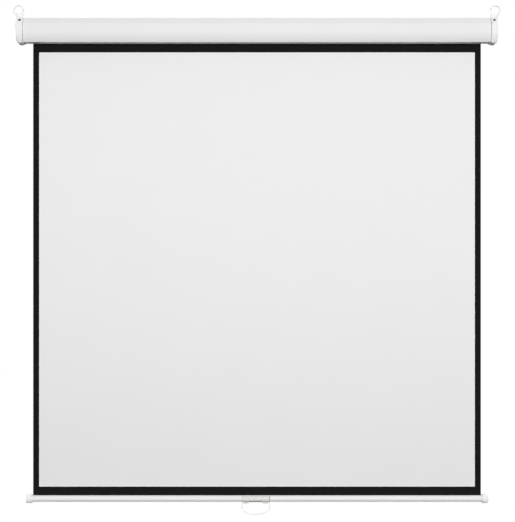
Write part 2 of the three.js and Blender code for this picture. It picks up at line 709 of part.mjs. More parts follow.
// Outline of a pawl about its pin, lying level towards the right: an eye with a straight arm
function pawlOutline(growth) {
  const nose = PAWL_NOSE + growth;
  const eye = PAWL_EYE + growth;
  const neck = Math.asin(nose / eye);
  return [
    ...arc(0, 0, eye, neck, 2 * Math.PI - neck, 2 * ROUND_STEPS),
    ...arc(PAWL_REACH, 0, nose, -Math.PI / 2, Math.PI / 2, ROUND_STEPS),
  ];
}

// A pawl at its pin above the axis, turned so that its arm points down to the front
function pawlForm(growth, swing, start, end) {
  const angle = Math.PI + PAWL_CLEAR_ANGLE + swing;
  const pinHole = growth > 0 ? [] : [circle(PAWL_PIN_RADIUS + FIT, TINY_SIDES)];
  return alongX(pawlOutline(growth), start, end, pinHole).rotateX(angle).translate(0, 0, PAWL_PIVOT);
}

function pawl(name, look, turn) {
  const geometry = pawlForm(0, 0, HUB_START, HUB_START + HUB_THICKNESS).rotateX(turn);
  return piece(name, look, mirrored(geometry), 0, ROLLER_Y);
}

// The fixed wheel, with two notches that a pawl's nose swings into
function ratchetHub() {
  const end = HUB_START + HUB_THICKNESS;
  const wheel = rodX(HUB_RADIUS, HUB_START, end, SIDES);
  const sweeps = [0, Math.PI].flatMap((turn) => {
    const steps = [];
    for (let i = 0; i <= NOTCH_STEPS; i += 1) {
      const swing = (PAWL_SWING * i) / NOTCH_STEPS;
      steps.push(pawlForm(SLIM_FIT, swing, HUB_START - OVERRUN, end + OVERRUN).rotateX(turn));
    }
    return steps;
  });
  const bore = rodX(BUSH_BORE, HUB_START - OVERRUN, end + OVERRUN);
  const geometry = cut(wheel, bore, ...sweeps, crossHole(hubPin()));
  return piece('ratchet_hub', PLASTIC_GREY, mirrored(geometry), 0, ROLLER_Y);
}

function pawlPin(name, turn) {
  const shoulder = HUB_START + HUB_THICKNESS + FIT;
  const inner = FLANGE_FACE - PAWL_PIN_DEPTH + FIT;
  const profile = [
    [inner, 0],
    [inner, PAWL_PIN_RADIUS],
    [shoulder, PAWL_PIN_RADIUS],
    [shoulder, PAWL_PIN_HEAD_RADIUS],
    [shoulder + PAWL_PIN_HEAD, PAWL_PIN_HEAD_RADIUS],
    [shoulder + PAWL_PIN_HEAD, 0],
  ];
  const geometry = turned(profile, TINY_SIDES).translate(0, 0, PAWL_PIVOT).rotateX(turn);
  return piece(name, STEEL, mirrored(geometry), 0, ROLLER_Y);
}

// Steel tube with a hole at each end for the rivet that holds its plug
function rollerTube() {
  const tube = alongX(circle(TUBE_RADIUS, SIDES), -TUBE_HALF, TUBE_HALF, [circle(TUBE_BORE, SIDES)]);
  const rivetX = TUBE_HALF - RIVET_INSET;
  const hole = rodZ(RIVET_RADIUS + FIT, 0, TUBE_RADIUS + OVERRUN, TINY_SIDES).rotateX(RIVET_TURN);
  const geometry = cut(tube, hole.clone().translate(rivetX, 0, 0), hole.translate(-rivetX, 0, 0));
  return piece('roller_tube', STEEL, geometry, 0, ROLLER_Y);
}

function plugProfile(bore, boreEnd, throughBore, end) {
  return [
    [FLANGE_FACE, bore],
    [FLANGE_FACE, TUBE_RADIUS],
    [TUBE_HALF + FIT, TUBE_RADIUS],
    [TUBE_HALF + FIT, PLUG_RADIUS],
    [PLUG_END, PLUG_RADIUS],
    [PLUG_END, SPIGOT_RADIUS],
    [end, SPIGOT_RADIUS],
    [end, throughBore],
    [boreEnd, throughBore],
    [boreEnd, bore],
    [FLANGE_FACE, bore],
  ];
}

function rivetHole() {
  return rodZ(RIVET_RADIUS + FIT, TUBE_BORE - RIVET_DEPTH - FIT, TUBE_RADIUS + OVERRUN, TINY_SIDES)
    .rotateX(RIVET_TURN)
    .translate(TUBE_HALF - RIVET_INSET, 0, 0);
}

// Left plug: it turns on the spindle, carries the pawls and takes the spring's near leg
function drivePlug() {
  const bore = BUSH_RADIUS + FIT;
  const body = turned(plugProfile(bore, FLANGE_FACE - BUSH_LENGTH - FIT, BUSH_BORE, PLUG_END - PLUG_SPIGOT));
  const holeStart = FLANGE_FACE - PAWL_PIN_DEPTH;
  const pinHole = rodX(PAWL_PIN_RADIUS + FIT, holeStart, FLANGE_FACE + OVERRUN, TINY_SIDES);
  const pinHoles = [PAWL_PIVOT, -PAWL_PIVOT].map((z) => pinHole.clone().translate(0, 0, z));
  const legHole = rodX(WIRE_RADIUS + FIT, PLUG_END - OVERRUN, PLUG_END + LEG_HOLD + FIT, TINY_SIDES)
    .translate(0, SPRING_RADIUS, 0);
  const geometry = cut(body, ...pinHoles, legHole, rivetHole());
  return piece('drive_plug', PLASTIC_GREY, mirrored(geometry), 0, ROLLER_Y);
}

function spindleBush() {
  const start = FLANGE_FACE - BUSH_LENGTH;
  const profile = [
    [start, BUSH_BORE],
    [start, BUSH_RADIUS],
    [FLANGE_FACE, BUSH_RADIUS],
    [FLANGE_FACE, BUSH_BORE],
    [start, BUSH_BORE],
  ];
  return piece('spindle_bush', BRASS, mirrored(turned(profile, SMALL_SIDES)), 0, ROLLER_Y);
}

function idlePlug() {
  const bore = SPINDLE_RADIUS + FIT;
  const boreEnd = FLANGE_FACE - IDLE_PIN_DEPTH - FIT;
  const profile = [
    [PLUG_END, 0],
    [PLUG_END, PLUG_RADIUS],
    [TUBE_HALF + FIT, PLUG_RADIUS],
    [TUBE_HALF + FIT, TUBE_RADIUS],
    [FLANGE_FACE, TUBE_RADIUS],
    [FLANGE_FACE, bore],
    [boreEnd, bore],
    [boreEnd, 0],
  ];
  return piece('idle_plug', PLASTIC_GREY, cut(turned(profile), rivetHole()), 0, ROLLER_Y);
}

function idlePin() {
  const geometry = rodX(SPINDLE_RADIUS, FLANGE_FACE - IDLE_PIN_DEPTH, PLATE_END + IDLE_PIN_PAST_PLATE);
  return piece('idle_pin', STEEL, geometry, 0, ROLLER_Y);
}

function plugRivet(name, side) {
  const profile = [
    [TUBE_BORE - RIVET_DEPTH, 0],
    [TUBE_BORE - RIVET_DEPTH, RIVET_RADIUS],
    [TUBE_RADIUS + FIT, RIVET_RADIUS],
    [TUBE_RADIUS + FIT, RIVET_HEAD_RADIUS],
    [TUBE_RADIUS + FIT + RIVET_HEAD, RIVET_HEAD_RADIUS / 2],
    [TUBE_RADIUS + FIT + RIVET_HEAD, 0],
  ];
  const geometry = turned(profile, TINY_SIDES).rotateY(-Math.PI / 2).rotateX(RIVET_TURN);
  return piece(name, STEEL, geometry, side * (TUBE_HALF - RIVET_INSET), ROLLER_Y);
}

// The turns that stay on the roller: a spiral that leaves it at the back, level with the axis
function fabricTurns() {
  const steps = Math.round(SIDES * TURNS_LEFT);
  const edge = (offset) => {
    const points = [];
    for (let i = 0; i <= steps; i += 1) {
      const turn = (TURNS_LEFT * i) / steps;
      const radius = TURNS_RADIUS - offset - TURN_PITCH * turn;
      const angle = 2 * Math.PI * turn;
      points.push(new THREE.Vector2(radius * Math.cos(angle), radius * Math.sin(angle)));
    }
    return points;
  };
  const outline = [...edge(0), ...edge(FABRIC_THICKNESS).reverse()];
  const geometry = alongX(outline, -FABRIC_HALF, FABRIC_HALF);
  return piece('fabric_turns', BLACK_CLOTH, geometry, 0, ROLLER_Y);
}

// The spring's path about the X axis: a leg along X, a bend, the turns, a bend and a leg. Its steps
// are finer in the bends than in the turns, so a share of the path is a share of its steps.
class SpringPath extends THREE.Curve {
  constructor() {
    super();
    this.slope = Math.atan(SPRING_PITCH / (2 * Math.PI * SPRING_RADIUS));
    this.bend = Math.PI / 2 - this.slope;
    this.coil = (Math.hypot(SPRING_PITCH, 2 * Math.PI * SPRING_RADIUS) * SPRING_TURNS) / 2;
    this.coilSteps = (TURN_STEPS * SPRING_TURNS) / 2;
    this.steps = 2 * (this.coilSteps + BEND_STEPS + LEG_STEPS);
    this.reach = this.unrolled(this.steps / 2).along;
    this.endAngle = this.unrolled(this.steps / 2).round / SPRING_RADIUS;
  }

  // Distance along X and round the coil after some steps from the middle of the spring
  unrolled(steps) {
    const coil = this.coil * Math.min(1, steps / this.coilSteps);
    const angle = this.slope + this.bend * THREE.MathUtils.clamp((steps - this.coilSteps) / BEND_STEPS, 0, 1);
    const leg = SPRING_LEG * Math.max(0, (steps - this.coilSteps - BEND_STEPS) / LEG_STEPS);
    const bendAlong = SPRING_BEND * (Math.cos(this.slope) - Math.cos(angle));
    const bendRound = SPRING_BEND * (Math.sin(angle) - Math.sin(this.slope));
    return {
      along: coil * Math.sin(this.slope) + bendAlong + leg,
      round: coil * Math.cos(this.slope) + bendRound,
    };
  }

  getPoint(share, target = new THREE.Vector3()) {
    const steps = (share - 0.5) * this.steps;
    const side = Math.sign(steps);
    const { along, round } = this.unrolled(Math.abs(steps));
    const angle = (side * round) / SPRING_RADIUS;
    return target.set(side * along, SPRING_RADIUS * Math.cos(angle), SPRING_RADIUS * Math.sin(angle));
  }

  getUtoTmapping(share) {
    return share;
  }
}

// Least distance between points of the wire that lie more than half a turn apart, less its thickness
function leastGap(path) {
  const points = path.getSpacedPoints(path.steps * 2);
  let least = Infinity;
  for (let i = 0; i < points.length; i += 1) {
    for (let j = i + TURN_STEPS; j < points.length; j += 1) {
      least = Math.min(least, points[i].distanceTo(points[j]));
    }
  }
  return least - 2 * WIRE_RADIUS;
}

// Torsion spring, with its near leg in the plug and its far leg in the core
function torsionSpring() {
  const path = new SpringPath();
  console.log(`torsion_spring: least gap to itself ${leastGap(path).toFixed(2)} mm`);
  const wire = new THREE.Shape(circle(WIRE_RADIUS, WIRE_SIDES));
  const geometry = new THREE.ExtrudeGeometry(wire, {
    steps: path.steps,
    extrudePath: path,
    bevelEnabled: false,
  });
  geometry.rotateX(-path.endAngle).translate(PLUG_END + LEG_HOLD - path.reach, 0, 0);
  return piece('torsion_spring', DARK_STEEL, mirrored(geometry), 0, ROLLER_Y);
}

// The spring's fixed end: a spigot for its last turns and a flange that the roller turns around
function springCore() {
  const face = coreFace();
  const profile = [
    [face - CORE_FLANGE, BUSH_BORE],
    [face - CORE_FLANGE, TUBE_BORE - FIT],
    [face, TUBE_BORE - FIT],
    [face, SPIGOT_RADIUS],
    [face + CORE_SPIGOT, SPIGOT_RADIUS],
    [face + CORE_SPIGOT, BUSH_BORE],
    [face - CORE_FLANGE, BUSH_BORE],
  ];
  const path = new SpringPath();
  const legHole = rodX(WIRE_RADIUS + FIT, face - LEG_HOLD - FIT, face + OVERRUN, TINY_SIDES)
    .translate(0, SPRING_RADIUS, 0)
    .rotateX(-2 * path.endAngle);
  const geometry = cut(turned(profile), legHole, crossHole(corePin()));
  return piece('spring_core', PLASTIC_GREY, mirrored(geometry), 0, ROLLER_Y);
}

// White fabric from the roller to the lower border
function screenFabric() {
  const outline = rectangle(FABRIC_FRONT, -WHITE_END, FABRIC_BACK, -FIT);
  return piece('screen_fabric', WHITE_CLOTH, alongX(outline, -FABRIC_HALF, FABRIC_HALF));
}

function masks() {
  const ink = (name, left, right, top, bottom) => {
    const outline = rectangle(FABRIC_FRONT - INK, -bottom, FABRIC_FRONT, -top);
    return piece(name, BLACK_CLOTH, alongX(outline, left, right));
  };
  const whiteHalf = FABRIC_HALF - SIDE_BORDER;
  return [
    ink('mask_top', -FABRIC_HALF, FABRIC_HALF, TOP_BORDER_START, TOP_BORDER_END),
    ink('mask_left', -FABRIC_HALF, -whiteHalf, TOP_BORDER_END, WHITE_END),
    ink('mask_right', whiteHalf, FABRIC_HALF, TOP_BORDER_END, WHITE_END),
  ];
}

// Half the angle of the bar's slot, and the middle of the hem's loop above the bar's axis
function barSlot() {
  const half = Math.asin(BAR_SLOT / 2 / BAR_RADIUS);
  const inner = BAR_RADIUS - BAR_WALL;
  const loopRadius = ROD_RADIUS + FIT + FABRIC_THICKNESS;
  const reach = Math.sqrt((loopRadius + FIT) ** 2 - (inner * Math.sin(half)) ** 2);
  return { half, loopRadius, loopZ: inner * Math.cos(half) - reach };
}

function weightBar() {
  const { half } = barSlot();
  const outline = ringSector(BAR_RADIUS - BAR_WALL, BAR_RADIUS, Math.PI / 2 + half, 2.5 * Math.PI - half);
  const reach = FABRIC_HALF + BAR_PAST_FABRIC;
  return piece('weight_bar', PAINT_WHITE, alongX(outline, -reach, reach), 0, -FABRIC_TO_WALL, BAR_Z);
}

// Lower border: down through the bar's slot and round the rod
function fabricHem() {
  const { loopRadius, loopZ } = barSlot();
  const half = FABRIC_THICKNESS / 2;
  const top = BAR_RADIUS + BOTTOM_BORDER;
  const start = Math.asin(half / loopRadius);
  const outline = [
    new THREE.Vector2(half, top),
    new THREE.Vector2(-half, top),
    ...arc(0, loopZ, loopRadius, Math.PI / 2 + start, 2.5 * Math.PI - start, SMALL_SIDES),
  ];
  const hole = circle(ROD_RADIUS + FIT, SMALL_SIDES, 0, loopZ);
  const geometry = alongX(outline, -FABRIC_HALF, FABRIC_HALF, [hole]);
  return piece('fabric_hem', BLACK_CLOTH, geometry, 0, -FABRIC_TO_WALL, BAR_Z);
}

function hemRod() {
  const geometry = rodX(ROD_RADIUS, -FABRIC_HALF, FABRIC_HALF);
  return piece('hem_rod', STEEL, geometry, 0, -FABRIC_TO_WALL, BAR_Z + barSlot().loopZ);
}

// Knob with a plug in the bar's end and a socket round it
function barCap(name, side) {
  const start = FABRIC_HALF + KNOB_GAP;
  const end = start + KNOB_LENGTH;
  const socketEnd = FABRIC_HALF + BAR_PAST_FABRIC + FIT;
  const socket = BAR_RADIUS + FIT;
  const plug = BAR_RADIUS - BAR_WALL - FIT;
  const grip = KNOB_RADIUS - KNOB_STEP;
  const band = start + KNOB_CHAMFER + KNOB_BAND;
  const nose = arc(end - KNOB_NOSE, grip - KNOB_NOSE, KNOB_NOSE, Math.PI / 2, 0, NOSE_STEPS);
  const profile = [
    [FABRIC_HALF + PLUG_TO_HEM, 0],
    [FABRIC_HALF + PLUG_TO_HEM, plug],
    [socketEnd, plug],
    [socketEnd, socket],
    [start, socket],
    [start, socket + KNOB_RIM],
    [start + KNOB_CHAMFER, KNOB_RADIUS],
    [band, KNOB_RADIUS],
    [band + KNOB_STEP, grip],
    ...nose.map(({ x, y }) => [x, y]),
    [end, 0],
  ];
  const geometry = turned(profile);
  return piece(name, PLASTIC_WHITE, side > 0 ? geometry : mirrored(geometry), 0, -FABRIC_TO_WALL, BAR_Z);
}

// Lug outline below the clip, about the bar's axis: round under the pivot, straight up to the clip
function lugOutline() {
  const radius = BAIL_WIRE + FIT + LUG_WALL;
  const top = -(BAR_RADIUS + FIT + CLIP_WALL / 2);
  return [
    new THREE.Vector2(radius, top),
    new THREE.Vector2(-radius, top),
    ...arc(0, -PIVOT_DROP, radius, Math.PI, 2 * Math.PI, TINY_SIDES / 2),
  ];
}

// Clip round the bar, with a raised pad, ribs beside it, two lugs and a window for the liner
function handleClip() {
  const inner = BAR_RADIUS + FIT;
  const outer = inner + CLIP_WALL;
  const half = CLIP_LENGTH / 2;
  const open = CLIP_OPENING / 2;
  const shell = alongX(ringSector(inner, outer, Math.PI / 2 + open, 2.5 * Math.PI - open), -half, half);
  const rise = (from, to, height, start, end) => (
    alongX(ringSector(outer - BITE, outer + height, from, to), start, end)
  );
  const parts = [rise(PAD_TOP, PAD_BOTTOM, PAD_RISE, -PAD_LENGTH / 2, PAD_LENGTH / 2)];
  const ribStep = (half - PAD_LENGTH / 2 - RIB_WIDTH) / RIBS_A_SIDE;
  for (let i = 1; i <= RIBS_A_SIDE; i += 1) {
    const start = PAD_LENGTH / 2 + i * ribStep;
    parts.push(rise(PAD_TOP, RIB_BOTTOM, RIB_RISE, start, start + RIB_WIDTH));
    parts.push(rise(PAD_TOP, RIB_BOTTOM, RIB_RISE, -start - RIB_WIDTH, -start));
  }
  parts.push(alongX(lugOutline(), LUG_START, LUG_END));
  parts.push(alongX(lugOutline(), -LUG_END, -LUG_START));
  const bore = () => rodX(BAIL_WIRE + FIT, LUG_END - BAIL_IN_LUG - FIT, LUG_END + OVERRUN, TINY_SIDES);
  const bores = [bore(), mirrored(bore())].map((hole) => hole.translate(0, 0, -PIVOT_DROP));
  const slack = FIT / outer;
  const window = alongX(
    ringSector(inner - FIT / 2, outer + PAD_RISE + BITE, LINER_TOP - slack, LINER_BOTTOM + slack),
    -LUG_START + FIT,
    LUG_START - FIT,
  );
  const geometry = cut(joined(shell, ...parts), window, ...bores);
  return piece('handle_clip', PLASTIC_WHITE, geometry, HANDLE_PLACE, -FABRIC_TO_WALL, BAR_Z);
}

function clipLiner() {
  const inner = BAR_RADIUS + FIT;
  const reach = LUG_START - 2 * FIT;
  const strap = ringSector(inner, inner + LINER_THICKNESS, LINER_TOP, LINER_BOTTOM);
  const geometry = alongX(strap, -reach, reach);
  return piece('clip_liner', RUBBER, geometry, HANDLE_PLACE, -FABRIC_TO_WALL, BAR_Z);
}

// One side of the bail from the bow's lowest point up to the end in its lug
function bailSide(side) {
  const out = side * (CLIP_LENGTH / 2 - BAIL_WIRE);
  const round = 4 * (Math.SQRT2 - 1) / 3; // how far a quarter of an ellipse's handles reach
  const bow = BAIL_DROP - BAIL_SHOULDER;
  const at = (x, z) => new THREE.Vector3(x, 0, z);
  const end = side * (LUG_END - BAIL_IN_LUG);
  return [
    new THREE.CubicBezierCurve3(
      at(0, -BAIL_DROP),
      at(out * round, -BAIL_DROP),
      at(out, -BAIL_SHOULDER - bow * (1 - round)),
      at(out, -BAIL_SHOULDER),
    ),
    new THREE.LineCurve3(at(out, -BAIL_SHOULDER), at(out, -BAIL_CORNER)),
    new THREE.QuadraticBezierCurve3(at(out, -BAIL_CORNER), at(out, 0), at(out - side * BAIL_CORNER, 0)),
    new THREE.LineCurve3(at(out - side * BAIL_CORNER, 0), at(end, 0)),
  ];
}

function reversed(curve) {
  if (curve.isLineCurve3) return new THREE.LineCurve3(curve.v2, curve.v1);
  if (curve.isQuadraticBezierCurve3) return new THREE.QuadraticBezierCurve3(curve.v2, curve.v1, curve.v0);
  return new THREE.CubicBezierCurve3(curve.v3, curve.v2, curve.v1, curve.v0);
}

function handleBail() {
  const path = new THREE.CurvePath();
  path.curves = [...bailSide(-1).reverse().map(reversed), ...bailSide(1)];
  const wire = new THREE.Shape(circle(BAIL_WIRE, BAIL_SIDES));
  const geometry = new THREE.ExtrudeGeometry(wire, {
    steps: BAIL_STEPS,
    extrudePath: path,
    bevelEnabled: false,
  });
  return piece('handle_bail', PLASTIC_WHITE, geometry, HANDLE_PLACE, -FABRIC_TO_WALL, BAR_Z - PIVOT_DROP);
}

const screen = new THREE.Group();
screen.add(
  caseHousing(),
  endCap('end_cap_left', -1),
  endCap('end_cap_right', 1),
  hangingRing('hanging_ring_left', -1),
  hangingRing('hanging_ring_right', 1),
  ringScrew('ring_screw_left', -1),
  ringScrew('ring_screw_right', 1),
  ...capScrews('left', -1),
  ...capScrews('right', 1),
  spindlePlate(),
  idlePlate(),
  idleBush(),
  springSpindle(),
  ratchetHub(),
  crossPin('hub_pin', hubPin()),
  springCore(),
  crossPin('core_pin', corePin()),
  torsionSpring(),
  rollerTube(),
  drivePlug(),
  spindleBush(),
  idlePlug(),
  idlePin(),
  plugRivet('plug_rivet_left', -1),
  plugRivet('plug_rivet_right', 1),
  fabricTurns(),
  pawlPin('pawl_pin_upper', 0),
  pawlPin('pawl_pin_lower', Math.PI),
  pawl('pawl_upper', STEEL, 0),
  pawl('pawl_lower', STEEL, Math.PI),
  screenFabric(),
  ...masks(),
  weightBar(),
  fabricHem(),
  hemRod(),
  barCap('bar_cap_left', -1),
  barCap('bar_cap_right', 1),
  handleClip(),
  clipLiner(),
  handleBail(),
);

export default screen;
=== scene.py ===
import json
import math

import bmesh
import bpy
from mathutils import Matrix, Vector


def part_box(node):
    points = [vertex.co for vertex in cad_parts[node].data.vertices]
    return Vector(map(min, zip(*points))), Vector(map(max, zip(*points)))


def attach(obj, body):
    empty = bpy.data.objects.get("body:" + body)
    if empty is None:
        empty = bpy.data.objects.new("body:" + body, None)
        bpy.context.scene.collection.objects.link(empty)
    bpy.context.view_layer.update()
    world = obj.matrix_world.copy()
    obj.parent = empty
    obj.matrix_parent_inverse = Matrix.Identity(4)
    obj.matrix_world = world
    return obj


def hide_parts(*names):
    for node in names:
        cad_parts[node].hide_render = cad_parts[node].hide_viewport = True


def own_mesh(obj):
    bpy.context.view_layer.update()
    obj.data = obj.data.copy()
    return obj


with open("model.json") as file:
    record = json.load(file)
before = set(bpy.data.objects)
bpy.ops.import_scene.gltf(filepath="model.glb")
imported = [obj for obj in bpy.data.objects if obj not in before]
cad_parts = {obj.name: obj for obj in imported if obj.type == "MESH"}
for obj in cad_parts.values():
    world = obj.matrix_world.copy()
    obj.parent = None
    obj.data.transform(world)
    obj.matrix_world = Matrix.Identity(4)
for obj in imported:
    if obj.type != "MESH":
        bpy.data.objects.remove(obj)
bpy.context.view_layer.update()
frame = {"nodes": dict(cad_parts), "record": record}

# Metres: X runs along the case, +Y is back to the wall and +Z up. Millimetres are a number * MM.
MM = 0.001

# Places and sizes that the frame gives
case_low, case_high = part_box("case_housing")
cap_low, cap_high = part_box("end_cap_right")
tube_low, tube_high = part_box("roller_tube")
cloth_low, cloth_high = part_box("screen_fabric")
_, hem_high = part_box("fabric_hem")
rod_low, rod_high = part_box("hem_rod")
bar_low, bar_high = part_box("weight_bar")
knob_low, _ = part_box("bar_cap_right")
clip_low, clip_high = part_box("handle_clip")
ring_low, ring_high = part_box("hanging_ring_right")

CASE_HALF = case_high.x
CASE_FRONT = case_low.y
CASE_TOP = case_high.z
CASE_BOTTOM = case_low.z
SEAM = cap_low.x
CAP_LENGTH = cap_high.x - cap_low.x
CAP_PROUD = case_low.y - cap_low.y
ROLLER_Y = (tube_low.y + tube_high.y) / 2
FABRIC_HALF = cloth_high.x
FABRIC_FRONT = cloth_low.y
FABRIC_BACK = cloth_high.y
FABRIC_TOP = cloth_high.z
WHITE_END = cloth_low.z
BAR_HALF = bar_high.x
BAR_Y = (bar_low.y + bar_high.y) / 2
BAR_Z = (bar_low.z + bar_high.z) / 2
BAR_RADIUS = (bar_high.z - bar_low.z) / 2
ROD_RADIUS = (rod_high.z - rod_low.z) / 2
ROD_Z = (rod_high.z + rod_low.z) / 2
KNOB_START = knob_low.x
CLIP_HALF = (clip_high.x - clip_low.x) / 2
HANDLE_X = (clip_high.x + clip_low.x) / 2
RING_Y = (ring_low.y + ring_high.y) / 2

FIT = 0.3 * MM  # between pieces that seat on each other
OVERRUN = 5 * MM  # how far a cutter runs past the face that it cuts
WELD = 0.001 * MM  # within which points of a mesh are one

# Case section
CASE_WALL = 1.5 * MM
BACK_EDGE = 32 * MM
FACET_DEPTH = 14 * MM
FACET_DROP = 21.2 * MM
BELLY_START = 8 * MM
BELLY_RADIUS = 52 * MM
SEAM_GAP = 0.9 * MM  # beside each cap, through the sheet but not through the screw ports
LIP_HEIGHT = 2.6 * MM  # of the upright rim that the front ends in
SLOT_FRONT = 8.5 * MM  # ahead of the fabric
SLOT_BACK = 10 * MM
SLOT_LIP = 4 * MM
CREASE_ROUND = 2.6 * MM
EDGE_ROUND = 1.7 * MM
END_UNDERCUT = 30 * MM
PORT_OUTER = 3.5 * MM
PORT_BORE = 1.9 * MM
PORT_INSET = 4.6 * MM
PORT_LOW = 22 * MM
PORT_FRONT_RISE = 12 * MM
PORT_SLIT = math.radians(70)

# End caps and rings
CAP_GRIP = 4 * MM
CAP_WALL = 2.6 * MM
CAP_EDGE = 1.8 * MM
CAP_RIM = 0.3 * MM
CAP_SEAM_ROUND = 3.4 * MM  # along the cap, at the front
CAP_LOW_ROUND = 11 * MM  # along the cap, underneath
CAP_LOW_START = 22 * MM  # below the roller's axis, where the one begins to pass into the other
CAP_SAG = 0.9 * MM  # of its underside in the middle
CAP_BACK_ROUND = 0.5 * MM  # at the top, against the wall
CAP_LOWER_CORNER = 9 * MM
CAP_CORNER_RISE = 11 * MM
PLATE = 1.5 * MM
CAP_INNER = CAP_GRIP + PLATE + 2 * FIT  # from the seam to the space past the end plate
BOSS_RADIUS = 4.3 * MM
SCREW_RADIUS = 1.6 * MM
SCREW_HEAD_RADIUS = 3.4 * MM
SCREW_HEAD = 2.2 * MM
SCREW_SINK = 2.6 * MM
RECESS_FLARE = 0.5 * MM  # of a screw recess's mouth
HEAD_EDGE = 0.35  # height of a head's edge, as a share of the head's
HEAD_CROWN = 0.45  # reach of its flat crown, as a share of its radius
CROSS_HALF = 0.45 * MM
CROSS_DEPTH = 1.3 * MM
RING_SCREW_HEAD_RADIUS = 4.4 * MM
RING_SCREW_BITE = 6 * MM  # in the ring's tongue
RING_RADIUS = 18 * MM
RING_HOLE = 13 * MM
RING_THICKNESS = 6 * MM
RING_EDGE = 2.1 * MM
RING_FLARE = math.radians(35)  # how far the ring runs on below its middle
RING_OUT = 15.8 * MM  # from the seam
NECK_IN = 0.6 * MM
NECK_WIDTH = 21.4 * MM
NECK_ROUND = 0.8 * MM
TONGUE_IN = 6.3 * MM
TONGUE_WIDTH = 11.5 * MM
TONGUE_ROUND = 1 * MM
SOCKET_WALL = 1.8 * MM

# Cloth
SIDE_BORDER = 20 * MM
TOP_BORDER_START = 6 * MM
TOP_BORDER_END = 68 * MM
INK = 0.06 * MM
CLOTH = FABRIC_BACK - FABRIC_FRONT
BACKING_SHARE = 0.5  # of the cloth's thickness
ROLL_GAP = 0.3 * MM
ROLL_TURNS = 1.25
CLOTH_EDGE = 0.1 * MM
CLOTH_STEPS = 12  # along the cloth's width
HEM_SEAM_RISE = 1.6 * MM  # above the loop
HEM_OPENING = math.radians(44)
HEM_LAP = 1.55  # how far back the hem's inner layer lies, in thicknesses of cloth

# Weight bar and its knobs
BAR_WALL = 1.4 * MM
BAR_SLOT = 3 * MM
KNOB_RADIUS = 15.5 * MM
KNOB_LENGTH = 21.5 * MM
KNOB_CHAMFER = 4 * MM
KNOB_BAND = 5 * MM
KNOB_STEP = 0.5 * MM
KNOB_NOSE = 2.5 * MM
KNOB_RIM = 1 * MM
KNOB_RIM_ROUND = 0.4 * MM
KNOB_BAND_ROUND = 1.2 * MM
KNOB_STEP_ROUND = 0.25 * MM
KNOB_FLUTES = 30
FLUTE_DEPTH = 0.45 * MM
FLUTE_PAST = 0.4  # share of the nose that the flutes run into
FLUTE_FADE = 1 / 6  # share of the grip over which they fade at each end
PLUG_TO_HEM = 2.3 * MM

# Handle
CLIP_WALL = 1.2 * MM
CLIP_OPENING = math.radians(80)
CLIP_START = math.pi / 2 + CLIP_OPENING / 2
CLIP_END = 2.5 * math.pi - CLIP_OPENING / 2
CLIP_EDGE = 0.5 * MM
PAD_HALF = 27 * MM
PAD_RISE = 0.8 * MM
PAD_TOP = math.radians(135)
PAD_BOTTOM = math.radians(217)
PAD_SLOPE = 0.7 * MM
RIB_RISE = 0.6 * MM
RIB_WIDTH = 1.5 * MM
RIB_SLOPE = 0.6 * MM
RIB_BOTTOM = math.radians(235)
RIBS_A_SIDE = 4
KNURL_PITCH = 4.8 * MM
KNURL_DEPTH = 0.6 * MM
KNURL_MARGIN = 2 * MM
KNURL_FADE = 1 * MM
GROOVE_IN = 2.0 * MM  # from the clip's end
GROOVE_WIDTH = 1.5 * MM
GROOVE_DEPTH = 0.7 * MM
GROOVE_SLOPE = 0.4 * MM
# A thin dark ring sunk in the groove at the clip's right end: painted shadow, standing for the
# shade in that groove
SHADOW_RING_WIDTH = 0.9 * MM
SHADOW_RING_THICKNESS = 0.5 * MM
SHADOW_RING_SINK = 0.3 * MM  # below the clip's outside
SHADOW_RING_SHORT = 0.02  # radians, at each end of the clip's turn
# The dark strip in the clip's window is painted shade: it stands for the bar's shadowed underside
# seen there
SHADE_LINER_THICKNESS = 0.8 * MM
SHADE_LINER_TOP = math.radians(221)
SHADE_LINER_BOTTOM = math.radians(279)
LUG_END = CLIP_HALF - 7.3 * MM
LUG_START = LUG_END - 17 * MM
LUG_RADIUS = 2.4 * MM
LUG_EDGE = 0.6 * MM
BAIL_WIRE = 1.2 * MM
BAIL_DROP = 39.9 * MM
BAIL_SHOULDER = 18 * MM
BAIL_CORNER = 6.8 * MM
BAIL_STRAIGHT = 2 * MM  # below the corner
BAIL_IN_LUG = 11 * MM
PIVOT_Z = BAR_Z - 14.2 * MM


# Geometry helpers

def new_object(name, data):
    thing = bpy.data.objects.new(name, data)
    bpy.context.scene.collection.objects.link(thing)
    return thing


def faced_out(mesh, weld=False):
    """Turns a closed mesh's faces out, after a weld of the points that lie together if asked."""
    edit = bmesh.new()
    edit.from_mesh(mesh)
    if weld:
        bmesh.ops.remove_doubles(edit, verts=edit.verts, dist=WELD)
    bmesh.ops.recalc_face_normals(edit, faces=edit.faces)
    edit.to_mesh(mesh)
    edit.free()
    return mesh


def solid(name, points, faces):
    """A closed form from points and faces."""
    mesh = bpy.data.meshes.new(name)
    mesh.from_pydata([tuple(point) for point in points], [], faces)
    return new_object(name, faced_out(mesh))


def final_mesh(thing):
    """A new mesh of what an object's modifiers, or its curve, make."""
    graph = bpy.context.evaluated_depsgraph_get()
    return bpy.data.meshes.new_from_object(thing.evaluated_get(graph))


def remove(thing):
    bpy.data.objects.remove(thing)


def combine(body, operation, *tools):
    """Joins or cuts a body with closed tools, which are then removed."""
    for tool in tools:
        modifier = body.modifiers.new("combine", "BOOLEAN")
        modifier.solver = "EXACT"
        modifier.operation = operation
        modifier.object = tool
        mesh = final_mesh(body)
        body.modifiers.clear()
        body.data = mesh
        remove(tool)
    return body


def merge(first, *others):
    """Puts several meshes into one object."""
    edit = bmesh.new()
    for thing in (first, *others):
        edit.from_mesh(thing.data)
    edit.to_mesh(first.data)
    edit.free()
    for thing in others:
        remove(thing)
    return first


